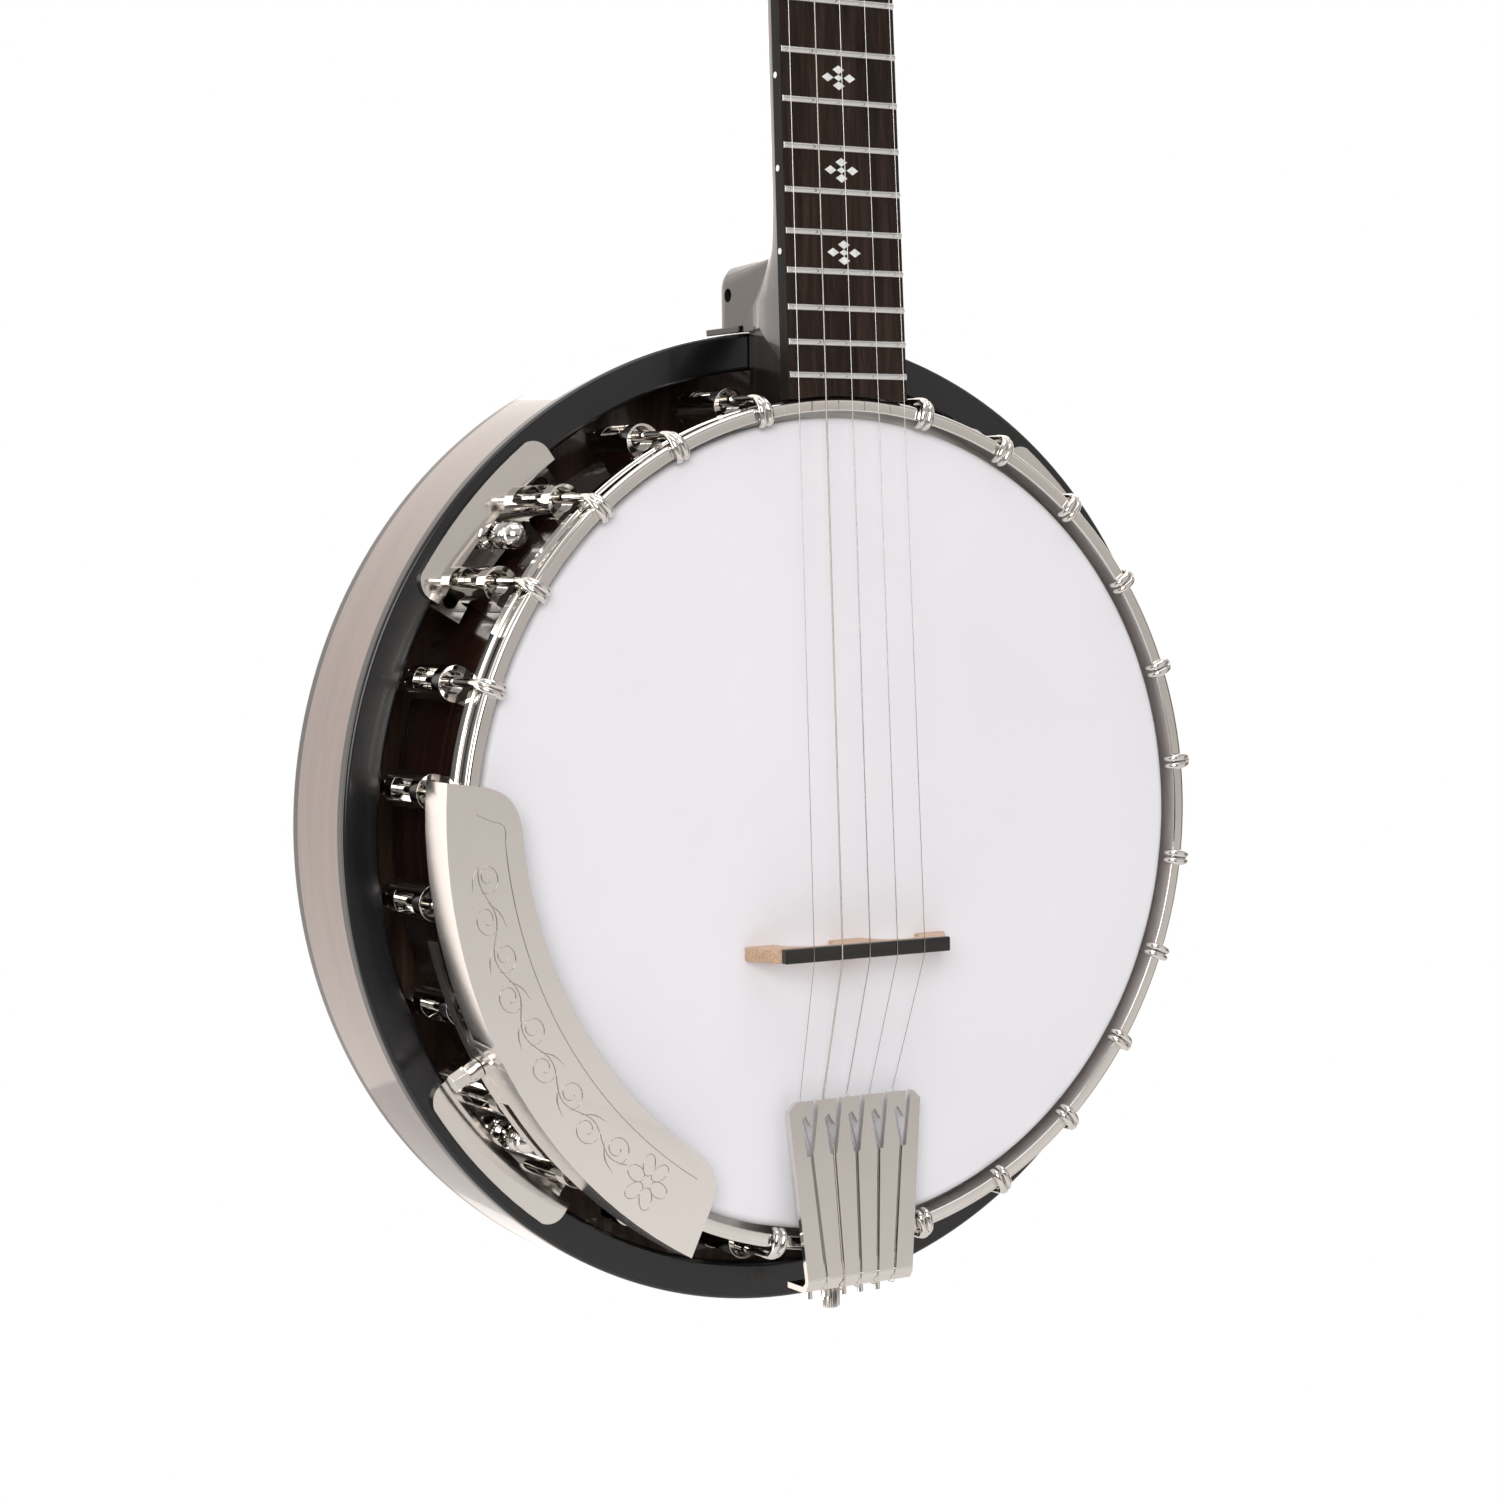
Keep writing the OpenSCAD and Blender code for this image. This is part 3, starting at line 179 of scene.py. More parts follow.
def grained_wood(name, dark, middle, light, scale, roughness, coat, relief=0.00003):
    """Wood whose grain follows the axis that has the smallest scale."""
    material, tree, shader = new_material(name, middle, roughness, coat=coat)
    vector = object_coordinates(tree, scale)
    figure = noise(tree, vector, 1.0, 8, 0.9, 0.6)
    pores = noise(tree, object_coordinates(tree, tuple(s * 5 for s in scale)), 1.6, 3, 0.0)
    colour = ramp(tree, figure, [(0.32, dark), (0.5, middle), (0.68, light)])
    mix = tree.nodes.new("ShaderNodeMix")
    mix.data_type = "RGBA"
    mix.blend_type = "MULTIPLY"
    mix.inputs["Factor"].default_value = 0.45
    tree.links.new(colour, mix.inputs["A"])
    pore_shade = ramp(tree, pores, [(0.42, (0.45, 0.42, 0.4)), (0.55, (1, 1, 1))])
    tree.links.new(pore_shade, mix.inputs["B"])
    tree.links.new(mix.outputs["Result"], shader.inputs["Base Color"])
    sheen = spread(tree, figure, roughness * 0.85, roughness * 1.2)
    tree.links.new(sheen, shader.inputs["Roughness"])
    bump(tree, shader, pores, relief, 0.3)
    return material


def moulded(name, colour, roughness, coat=0.0, grain=700, relief=0.00001, mottle=0.12):
    """Plastic, bone or lacquer with slight mottling."""
    material, tree, shader = new_material(name, colour, roughness, coat=coat)
    vector = object_coordinates(tree, (1, 1, 1))
    cloud = noise(tree, vector, 45, 5, 0.3)
    lower = tuple(c * (1 - mottle) for c in colour)
    shades = ramp(tree, cloud, [(0.35, lower), (0.65, colour)])
    tree.links.new(shades, shader.inputs["Base Color"])
    sheen = spread(tree, cloud, roughness * 0.85, roughness * 1.15)
    tree.links.new(sheen, shader.inputs["Roughness"])
    bump(tree, shader, noise(tree, vector, grain, 3), relief, 0.3)
    return material


def blacken_sides(material, black, sideways=0.8, specular=0.12):
    """Turns the faces that look sideways near black, and dulls the whole material's reflection."""
    tree = material.node_tree
    shader = tree.nodes["Principled BSDF"]
    where = tree.nodes.new("ShaderNodeTexCoord")
    split = tree.nodes.new("ShaderNodeSeparateXYZ")
    tree.links.new(where.outputs["Normal"], split.inputs["Vector"])
    size = tree.nodes.new("ShaderNodeMath")
    size.operation = "ABSOLUTE"
    tree.links.new(split.outputs["X"], size.inputs[0])
    step = tree.nodes.new("ShaderNodeMath")
    step.operation = "GREATER_THAN"
    step.inputs[1].default_value = sideways
    tree.links.new(size.outputs[0], step.inputs[0])
    mix = tree.nodes.new("ShaderNodeMix")
    mix.data_type = "RGBA"
    tree.links.new(step.outputs[0], mix.inputs["Factor"])
    tree.links.new(shader.inputs["Base Color"].links[0].from_socket, mix.inputs["A"])
    mix.inputs["B"].default_value = (*black, 1)
    tree.links.new(mix.outputs["Result"], shader.inputs["Base Color"])
    shader.inputs["Specular IOR Level"].default_value = specular
    return material


def shell_pearl(name, scale, pale, deep):
    """Mother of pearl: small plates whose colour drifts from cell to cell."""
    material, tree, shader = new_material(name, pale, 0.22, coat=0.6)
    vector = object_coordinates(tree, (1, 1, 1))
    cells = tree.nodes.new("ShaderNodeTexVoronoi")
    cells.inputs["Scale"].default_value = scale
    cells.inputs["Randomness"].default_value = 1.0
    tree.links.new(vector, cells.inputs["Vector"])
    drift = noise(tree, vector, scale * 0.8, 5, 1.8)
    mix = tree.nodes.new("ShaderNodeMix")
    mix.data_type = "RGBA"
    mix.inputs["Factor"].default_value = 0.07
    shimmer = ramp(tree, drift, [(0.3, deep), (0.5, pale), (0.7, (0.95, 0.93, 0.9))])
    tree.links.new(shimmer, mix.inputs["A"])
    tree.links.new(cells.outputs["Color"], mix.inputs["B"])
    tree.links.new(mix.outputs["Result"], shader.inputs["Base Color"])
    return material


def wound_wire(name, colour):
    """Wrapped string: fine turns of wire across the string's run."""
    material, tree, shader = new_material(name, colour, 0.25, metallic=1.0)
    wave = tree.nodes.new("ShaderNodeTexWave")
    wave.bands_direction = "Z"
    wave.inputs["Scale"].default_value = 1600
    tree.links.new(object_coordinates(tree, (1, 1, 1)), wave.inputs["Vector"])
    bump(tree, shader, wave.outputs["Fac"], 0.00006, 0.8)
    return material


def frosted_head(name, colour):
    """Coated drum skin: a dry white spray coat with a fine tooth."""
    material, tree, shader = new_material(name, colour, 0.62, ior=1.45)
    vector = object_coordinates(tree, (1, 1, 1))
    tooth = noise(tree, vector, 2600, 3, 0.0, 0.7)
    cloud = noise(tree, vector, 14, 3, 0.4)
    paler = tuple(min(1.0, c * 1.03) for c in colour)
    tree.links.new(ramp(tree, cloud, [(0.3, colour), (0.7, paler)]), shader.inputs["Base Color"])
    tree.links.new(spread(tree, tooth, 0.52, 0.72), shader.inputs["Roughness"])
    bump(tree, shader, tooth, 0.00004, 0.35)
    return material


# ------------------------------------------------------------------ pieces
def select_only(piece):
    bpy.ops.object.select_all(action="DESELECT")
    piece.select_set(True)
    bpy.context.view_layer.objects.active = piece


def finish_piece(piece, material, body, nodes=()):
    """Gives a finished piece its material and its place in the assembly."""
    piece.data.materials.clear()
    piece.data.materials.append(material)
    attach(piece, body)
    if nodes:
        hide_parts(*nodes)
    return piece


def apply_modifier(piece, kind, **values):
    """Adds a modifier with these settings and applies it to the mesh."""
    select_only(piece)
    modifier = piece.modifiers.new(kind.title(), kind)
    for key, value in values.items():
        setattr(modifier, key, value)
    bpy.ops.object.modifier_apply(modifier=modifier.name)


def round_edges(piece, width, segments=2, angle=35.0):
    apply_modifier(piece, "BEVEL", width=width, segments=segments, limit_method="ANGLE",
                   angle_limit=math.radians(angle), use_clamp_overlap=True, loop_slide=True)


def smooth(piece, angle=38.0):
    select_only(piece)
    bpy.ops.object.shade_smooth_by_angle(angle=math.radians(angle))


def whole(piece, flatten):
    """Joins the loose faces of a copied solid and clears its flat triangles."""
    select_only(piece)
    bpy.ops.object.mode_set(mode="EDIT")
    bpy.ops.mesh.select_all(action="SELECT")
    bpy.ops.mesh.remove_doubles(threshold=0.000002)
    if flatten:
        bpy.ops.mesh.dissolve_limited(angle_limit=math.radians(flatten))
    bpy.ops.object.mode_set(mode="OBJECT")


def flatten_shading(piece):
    """Lets large faces lead the shading, so that eased edges do not darken them."""
    apply_modifier(piece, "WEIGHTED_NORMAL", keep_sharp=True, mode="FACE_AREA", weight=100)


def refined(node, material, edge=0.0, segments=2, angle=35.0, shade=38.0, flatten=0.4):
    """A copy of a solid with its sharp edges eased by edge mm, standing for the plain one."""
    piece = bpy.data.objects.new(node + "_finished", NODES[node].data.copy())
    bpy.context.scene.collection.objects.link(piece)
    whole(piece, flatten)
    if edge:
        round_edges(piece, edge * MM, segments, angle)
    smooth(piece, shade)
    if edge:
        flatten_shading(piece)
    return finish_piece(piece, material, BODY_OF[node], [node])


def corner(radius, depth, size, start, steps=4):
    """A quarter round in a ring's section, from one angle on for 90 degrees."""
    turns = [math.radians(start + 90 * i / steps) for i in range(steps + 1)]
    return [(radius + size * math.cos(turn), depth + size * math.sin(turn)) for turn in turns]


def hoop(name, section, sides=240):
    """Spins a closed section of radius and depth in mm round the pot's axis."""
    curve = bpy.data.curves.new(name, "CURVE")
    curve.dimensions = "3D"
    spline = curve.splines.new("POLY")
    spline.points.add(len(section) - 1)
    spline.use_cyclic_u = True
    for point, (radius, depth) in zip(spline.points, section):
        point.co = (radius * MM, 0.0, depth * MM, 1.0)
    piece = bpy.data.objects.new(name, curve)
    bpy.context.scene.collection.objects.link(piece)
    select_only(piece)
    bpy.ops.object.convert(target="MESH")
    piece = bpy.context.object
    apply_modifier(piece, "SCREW", angle=math.tau, steps=sides, render_steps=sides, axis="Z",
                   use_merge_vertices=True, merge_threshold=0.000005)
    bpy.ops.object.mode_set(mode="EDIT")
    bpy.ops.mesh.select_all(action="SELECT")
    bpy.ops.mesh.normals_make_consistent(inside=False)
    bpy.ops.object.mode_set(mode="OBJECT")
    settle(piece, Matrix.Translation(POT) @ Matrix.Rotation(math.radians(-90), 4, "X"))
    return piece


def spun(node, material, section, shade=38.0):
    """A ring modelled afresh, standing for a solid of the same section."""
    piece = hoop(node + "_finished", section)
    smooth(piece, shade)
    flatten_shading(piece)
    return finish_piece(piece, material, BODY_OF[node], [node])


def at_pot(angle):
    """From a frame at the pot's centre, up along the radius at this angle, to the row's frame."""
    return Matrix.Translation(POT) @ Matrix.Rotation(math.radians(angle), 4, "Y")


def settle(piece, matrix):
    """Moves a piece's mesh into the shared frame and clears the object's own transform."""
    piece.data.transform(matrix @ piece.matrix_world)
    piece.matrix_world = Matrix.Identity(4)


def copies(first, matrices, names):
    """Each copy with its own mesh, then the first one is removed."""
    made = []
    for name, matrix in zip(names, matrices):
        piece = bpy.data.objects.new(name, first.data.copy())
        piece.data.transform(matrix)
        bpy.context.scene.collection.objects.link(piece)
        made.append(piece)
    bpy.data.objects.remove(first)
    return made


def turned(name, profile, sides=48):
    """Lathe work along +Z: a disc extruded and resized from one step to the next, in mm."""
    bpy.ops.object.select_all(action="DESELECT")
    radius, height = profile[0]
    bpy.ops.mesh.primitive_circle_add(vertices=sides, radius=radius * MM, fill_type="NGON",
                                      location=(0, 0, height * MM))
    piece = bpy.context.object
    piece.name = name
    bpy.ops.object.transform_apply(location=True, rotation=True, scale=True)
    bpy.ops.object.mode_set(mode="EDIT")
    bpy.ops.mesh.select_all(action="SELECT")
    for next_radius, next_height in profile[1:]:
        step = (0, 0, (next_height - height) * MM)
        bpy.ops.mesh.extrude_region_move(TRANSFORM_OT_translate={"value": step})
        ratio = next_radius / radius
        bpy.ops.transform.resize(value=(ratio, ratio, 1),
                                 center_override=(0, 0, next_height * MM))
        radius, height = next_radius, next_height
    bpy.ops.mesh.select_all(action="SELECT")
    bpy.ops.mesh.normals_make_consistent(inside=False)
    bpy.ops.object.mode_set(mode="OBJECT")
    return piece


def knurl(piece, sides, low, high, depth=0.94):
    """Pulls every second line of a turned rim inwards between two heights, in mm."""
    for vertex in piece.data.vertices:
        x, y, z = vertex.co
        turn = round(math.degrees(math.atan2(y, x)) / 360 * sides)
        vertex.select = bool(turn % 2) and low * MM <= z <= high * MM
    for edge in piece.data.edges:
        edge.select = all(piece.data.vertices[i].select for i in edge.vertices)
    for face in piece.data.polygons:
        face.select = False
    select_only(piece)
    bpy.ops.object.mode_set(mode="EDIT")
    bpy.ops.mesh.select_mode(type="VERT")
    bpy.ops.transform.resize(value=(depth, depth, 1), center_override=(0, 0, 0))
    bpy.ops.object.mode_set(mode="OBJECT")


def rod(name, points, radii, sides=3, closed=False, resolution=4):
    """A round bar along smooth points in mm, thick or thin where its radii say."""
    curve = bpy.data.curves.new(name, "CURVE")
    curve.dimensions = "3D"
    curve.bevel_depth = MM
    curve.bevel_resolution = sides
    curve.resolution_u = resolution
    curve.use_fill_caps = not closed
    spline = curve.splines.new("BEZIER")
    spline.bezier_points.add(len(points) - 1)
    spline.use_cyclic_u = closed
    for index, point in enumerate(spline.bezier_points):
        point.co = Vector(points[index]) * MM
        point.radius = radii[index] if hasattr(radii, "__len__") else radii
        point.handle_left_type = point.handle_right_type = "AUTO"
    piece = bpy.data.objects.new(name, curve)
    bpy.context.scene.collection.objects.link(piece)
    select_only(piece)
    bpy.ops.object.convert(target="MESH")
    return bpy.context.object


def joined(parts, name):
    bpy.ops.object.select_all(action="DESELECT")
    for part in parts:
        part.select_set(True)
    bpy.context.view_layer.objects.active = parts[0]
    if len(parts) > 1:
        bpy.ops.object.join()
    piece = bpy.context.object
    piece.name = name
    return piece


# ------------------------------------------------------------------ settings
class BanjoSizes(bpy.types.PropertyGroup):
    wire: FloatProperty(name="Hook wire", description="Radius of a hook's shank in millimetres",
                        default=2.0, min=1.2, max=2.2)
    knurls: IntProperty(name="Knurls", description="Grooves round a thumbscrew's grip",
                        default=32, min=12, max=60)
    scrolls: IntProperty(name="Scrolls", description="Scrolls engraved along the armrest",
                         default=9, min=6, max=30)
    engraving: FloatProperty(name="Engraving",
                             description="Radius of an engraved line in millimetres",
                             default=0.17, min=0.08, max=0.4)


def colour_property(name, description, default):
    return FloatVectorProperty(name=name, description=description, default=default, size=3,
                               subtype="COLOR", min=0.0, max=1.0)


class BanjoColours(bpy.types.PropertyGroup):
    plating: colour_property("Plating", "Nickel plate on hooks, hoop, brackets and tailpiece",
                             (0.77, 0.74, 0.705))
    front_plate: colour_property("Front plate", "Satin plate of the armrest",
                                 (0.86, 0.82, 0.785))
    steel: colour_property("Steel", "Bare and zinc-plated steel", (0.58, 0.57, 0.56))
    brass: colour_property("Brass", "Tone ring, inserts and nuts", (0.80, 0.60, 0.28))
    head: colour_property("Head", "Coated drum skin", (0.86, 0.855, 0.90))
    mahogany: colour_property("Mahogany", "Stained wood of the resonator",
                              (0.120, 0.070, 0.050))
    lacquer: colour_property("Black lacquer", "Front lip and peghead face",
                             (0.007, 0.007, 0.008))
    binding: colour_property("Binding", "Black plastic edging", (0.010, 0.010, 0.011))
    neck: colour_property("Neck", "Stained wood of the neck", (0.026, 0.022, 0.018))
    rosewood: colour_property("Rosewood", "Fingerboard", (0.026, 0.016, 0.012))
    stain: colour_property("Dark stain", "Rim and resonator lugs", (0.030, 0.012, 0.009))
    maple: colour_property("Maple", "Bridge", (0.66, 0.45, 0.31))
    bone: colour_property("Bone", "Nut and fifth-string pip", (0.78, 0.73, 0.60))


def settings():
    return bpy.context.scene.banjo_sizes, bpy.context.scene.banjo_colours


MADE = {}


def stained(name, tone, dark, light, grain, roughness, coat, relief=0.00003):
    """Wood in one stain, whose dark and light figure are shares of its tone."""
    return grained_wood(name, tuple(tone * dark), tuple(tone), tuple(tone * light),
                        grain, roughness, coat, relief)


def material(key):
    """Each finish is built once, from the colours in the panel."""
    if key in MADE:
        return MADE[key]
    _, colours = settings()
    mahogany, neck, rosewood, maple, stain = (Vector(c) for c in (
        colours.mahogany, colours.neck, colours.rosewood, colours.maple, colours.stain))
    plating, front_plate = tuple(colours.plating), tuple(colours.front_plate)
    steel, brass = tuple(colours.steel), tuple(colours.brass)
    recipes = {
        "plating": lambda: polished_metal("nickel_plate", plating, 0.05, 0.05, 0.000003),
        "front_plate": lambda: polished_metal("satin_nickel_plate", front_plate, 0.13, 0.04,
                                              0.000002, 0.02),
        "steel": lambda: polished_metal("steel", steel, 0.28, 0.14, 0.00003),
        "brass": lambda: polished_metal("brass", brass, 0.2, 0.15),
        "fret_wire": lambda: polished_metal("fret_wire", (0.74, 0.73, 0.71), 0.16, 0.1),
        "string": lambda: polished_metal("string_steel", (0.66, 0.65, 0.64), 0.18, 0.1),
        "wound": lambda: wound_wire("wound_string", (0.62, 0.57, 0.50)),
        # Engraved lines: plate metal made darker, as painted shade for the cut grooves; the lines
        # themselves are real geometry
        "engraved": lambda: polished_metal("engraved_line_painted_shade", (0.50, 0.465, 0.44), 0.3, 0.1),
        "head": lambda: frosted_head("coated_skin", tuple(colours.head)),
        "resonator_side": lambda: stained("mahogany_side", mahogany, 0.6, 1.5,
                                          (5, 160, 5), 0.24, 1.0),
        "resonator_back": lambda: stained("mahogany_back", mahogany, 0.6, 1.7,
                                          (110, 20, 5), 0.32, 1.0),
        "neck": lambda: stained("stained_neck", neck, 0.6, 1.5, (150, 150, 5), 0.26, 0.6),
        "rosewood": lambda: blacken_sides(
            stained("rosewood", rosewood, 0.5, 1.8, (260, 260, 9), 0.42, 0.0, 0.00006),
            (0.004, 0.004, 0.004)),
        "rim": lambda: stained("stained_rim", stain, 0.5, 1.6, (8, 170, 8), 0.25, 0.8),
        "maple": lambda: stained("bridge_maple", maple, 0.82, 1.15,
                                 (10, 220, 220), 0.5, 0.0, 0.00004),
        "ebony": lambda: grained_wood("ebony", (0.006, 0.005, 0.004), (0.012, 0.010, 0.009),
                                      (0.02, 0.017, 0.014), (12, 260, 260), 0.35, 0.1),
        "lacquer": lambda: moulded("black_lacquer", tuple(colours.lacquer), 0.24, 0.15,
                                   mottle=0.3),
        "binding": lambda: moulded("black_binding", tuple(colours.binding), 0.24, 0.2,
                                   mottle=0.2),
        "bone": lambda: moulded("bone", tuple(colours.bone), 0.36),
        "pearl": lambda: shell_pearl("inlay_pearl", 420, (0.80, 0.81, 0.78), (0.62, 0.66, 0.65)),
        "pearloid": lambda: shell_pearl("button_pearloid", 230, (0.84, 0.82, 0.76),
                                        (0.68, 0.66, 0.60)),
        "floor": lambda: moulded("studio_floor", (0.70, 0.70, 0.70), 0.75, grain=60,
                                 relief=0.0001, mottle=0.03),
    }
    MADE[key] = recipes[key]()
    return MADE[key]


# ------------------------------------------------------------------ operators
class BANJO_OT_pot(bpy.types.Operator):
    """Finishes the wooden rim, the tone ring, the head and the hoops"""
    bl_idname = "banjo.pot"
    bl_label = "Pot and head"

    def execute(self, context):
        bore = HEAD_R - RIM_WALL
        spun("rim", material("rim"),
             [(bore, RIM_TOP), (HEAD_R, RIM_TOP), (HEAD_R, RIM_END - 0.5), (HEAD_R - 0.5, RIM_END),
              (bore + 0.5, RIM_END), (bore, RIM_END - 0.5)])
        bend = HEAD_R - 2.5
        spun("tone_ring", material("brass"),
             corner(HEAD_R - 5.2, 3, 2.5, 180) + corner(bend, 3, 2.5, 270)
             + [(HEAD_R, TONE_RING_END), (HEAD_R - 7.7, TONE_RING_END)])
        spun("head_skin", material("head"),
             [(0.0, 0.0)] + corner(bend, 3, 3.0, 270, 6)
             + [(HEAD_R + 0.5, COLLAR_END), (HEAD_R + 0.06, COLLAR_END)]
             + corner(bend, 3, 2.56, 270, 6)[::-1] + [(0.0, 0.44)], 50)
        spun("flesh_hoop", material("steel"),
             [(HEAD_R + 0.1, COLLAR_END), (HEAD_R + 4.1, COLLAR_END),
              (HEAD_R + 4.1, FLESH_HOOP_END), (HEAD_R + 0.1, FLESH_HOOP_END)])
        face = HOOP_IN + 4.7
        groove = face - 0.8
        spun("tension_hoop", material("plating"),
             [(HOOP_IN, COLLAR_END), (HOOP_IN, -2.7)] + corner(HOOP_IN + 0.5, -2.7, 0.5, 180, 3)
             + corner(face - 1.5, -1.7, 1.5, 270, 5)
             + [(face, 1.1), (face - 0.25, 1.5), (groove, 1.75),
                (groove, 5.7), (face - 0.25, 6.0), (face, 6.3), (face, COLLAR_END)])
        for node in ("coordinator_rods", "tail_bolts", "hanger_bolts"):
            refined(node, material("steel"), edge=0.3)
        return {"FINISHED"}


class BANJO_OT_hooks(bpy.types.Operator):
    """Models a hook with its two-lobed claw, copies it round, and finishes shoes and nuts"""
    bl_idname = "banjo.hooks"
    bl_label = "Bracket hooks"

    def execute(self, context):
        sizes, _ = settings()
        wire = sizes.wire
        # Stations along the shank: depth, drop towards the head, and share of the wire's radius
        shank = [(54, 0, 1), (30, 0, 1), (16, 0, 0.88), (6, 0, 0.74), (0, 0.1, 0.70),
                 (-2.6, 0.9, 0.70), (-4.2, 2.4, 0.6)]
        parts = [rod("shank", [(0, depth, HOOK_R - drop) for depth, drop, _ in shank],
                     [wire * share for _, _, share in shank], 5)]
        # Stations along a lobe of the claw: sideways, depth, drop and radius
        lobe = [(0.3, 2.0, 0.1, 0.7), (0.8, -0.8, 0.3, 1.0), (1.1, -3.2, 1.5, 1.25),
                (1.3, -4.45, 3.6, 1.38), (1.4, -4.6, 5.6, 1.42), (1.4, -4.3, 7.6, 1.35),
                (1.35, -3.1, 8.9, 1.15), (1.3, -1.4, 9.2, 0.9), (1.2, -0.75, 9.2, 0.5)]
        for side in (-1, 1):
            claw = [(side * x, depth, HOOK_R - drop) for x, depth, drop, _ in lobe]
            parts.append(rod("claw", claw, [radius for *_, radius in lobe], 5))
        hook = joined(parts, "hook")
        smooth(hook, 60)
        names = ["hook_%02d" % (k + 1) for k in range(len(HOOK_ANGLES))]
        made = copies(hook, [at_pot(angle) for angle in HOOK_ANGLES], names)
        node = "bracket_hooks"
        for index, piece in enumerate(made):
            finish_piece(piece, material("plating"), BODY_OF[node],
                         [node] if index == 0 else [])
        refined("bracket_shoes", material("plating"), edge=0.9, segments=3, angle=50)
        refined("bracket_nuts", material("plating"), edge=0.4, segments=3)
        refined("shoe_bolts", material("steel"), edge=0.3)
        return {"FINISHED"}


class BANJO_OT_resonator(bpy.types.Operator):
    """Finishes the resonator, its lip, binding, bracket plates and lugs"""
    bl_idname = "banjo.resonator"
    bl_label = "Resonator"

    def execute(self, context):
        bore = RES_R - SIDE_WALL
        spun("resonator_side", material("resonator_side"),
             [(bore, SIDE_TOP), (RES_R, SIDE_TOP), (RES_R, SIDE_END), (bore, SIDE_END)])
        rho = (RES_R ** 2 + ARCH_RISE ** 2) / (2 * ARCH_RISE)

        def arch(radius, lift):
            """Depth of the back's arch at a radius, with a lift for its outer face."""
            return SIDE_END + lift + math.sqrt(rho ** 2 - radius ** 2) - (rho - ARCH_RISE)

        steps = 16
        reach = RES_R - 3
        outside = [reach * i / steps for i in range(steps + 1)]
        inside = [(RES_R - 7) * i / steps for i in range(steps + 1)]
        spun("resonator_back", material("resonator_back"),
             [(r, arch(r, BACK_WALL)) for r in outside] + [(reach, SIDE_END)]
             + [(r, max(SIDE_END, arch(r, 0))) for r in reversed(inside)], 50)
        inner, lip_edge = RES_R - 13, 1.5
        lip_bend = SIDE_TOP - 3.5
        spun("resonator_lip", material("lacquer"),
             [(inner, SIDE_TOP)] + corner(inner + lip_edge, lip_bend, lip_edge, 180, 6)
             + corner(RES_R - lip_edge, lip_bend, lip_edge, 270, 6) + [(RES_R, SIDE_TOP)], 50)
        edge = arch(reach, BACK_WALL)
        bound, binding_edge = RES_R - 2.95, 2.0
        spun("resonator_binding", material("binding"),
             [(bound, SIDE_END), (RES_R, SIDE_END)]
             + corner(RES_R - binding_edge, edge - binding_edge, binding_edge, 0, 6)
             + [(bound, edge)], 50)
        refined("resonator_lugs", material("rim"), edge=0.8)
        refined("lug_inserts", material("brass"), edge=0.2)
        refined("resonator_brackets", material("plating"), edge=0.3, segments=3)
        return {"FINISHED"}


class BANJO_OT_thumbscrews(bpy.types.Operator):
    """Turns a thumbscrew with a knurled grip and a ball end, and copies it to the bracket plates"""
    bl_idname = "banjo.thumbscrews"
    bl_label = "Resonator thumbscrews"

    def execute(self, context):
        sizes, _ = settings()
        sides = sizes.knurls * 2
        ball_r, ball_depth = 4.6, 26
        turns = [math.radians(a) for a in range(-60, 90, 12)]
        ball = [(ball_r * math.cos(a), ball_depth - ball_r * math.sin(a)) for a in turns]
        shaft = [(2.0, 56), (2.5, 55.4), (2.5, 44)]
        wide_grip = [(4.6, 43.95), (5.0, 43.5), (5.0, 41.5), (4.6, 41.0)]
        waist = [(3.2, 40), (2.9, 37), (3.2, 34.6)]
        small_grip = [(4.3, 34.3), (4.7, 33.9), (4.7, 31.9), (4.3, 31.4), (2.2, 30.6)]
        profile = shaft + wide_grip + waist + small_grip + ball + [(0.4, 21.4)]
        screw = turned("thumbscrew", profile, sides)
        knurl(screw, sides, 41.4, 43.6)
        knurl(screw, sides, 31.8, 34.0)
        smooth(screw, 30)
        turn = Matrix.Rotation(math.radians(-90), 4, "X")
        out = Matrix.Translation((0, 0, (HOOK_R + 1) * MM))
        made = copies(screw, [at_pot(a) @ out @ turn for a in PLATE_ANGLES],
                      ["thumbscrew_grip_%d" % k for k in (1, 2, 3, 4)])
        for k, piece in enumerate(made):
            node = "thumbscrew_%d" % (k + 1)
            finish_piece(piece, material("plating"), BODY_OF[node], [node])
        return {"FINISHED"}


# Edges of the armrest: radius in mm, how far its centre is moved off the pot's, and which way
ARM_OUTER = (171.6, 171.6 - 153.6, -118.0)
ARM_INNER = (150.5, 150.5 - 123.0, -129.0)
# Its ends in degrees, and the depth of its face in mm
ARM_TOP, ARM_LOW = -82.0, -154.5
ARM_FACE = -9.2
# The engraving's middle and its border, as shares of the way from the inner edge to the outer
VINE, BORDER = 0.57, 0.24


def arm_edge(edge, angle):
    radius, shift, toward = edge
    away = math.radians(angle - toward)
    return -shift * math.cos(away) + math.sqrt(radius ** 2 - (shift * math.sin(away)) ** 2)


def on_arm(angle, share):
    """A point on the armrest's face, from share 0 at the inner edge to 1 at the outer, in mm."""
    reach = arm_edge(ARM_INNER, angle) * (1 - share) + arm_edge(ARM_OUTER, angle) * share
    way = math.radians(angle)
    return (reach * math.sin(way), ARM_FACE, reach * math.cos(way))


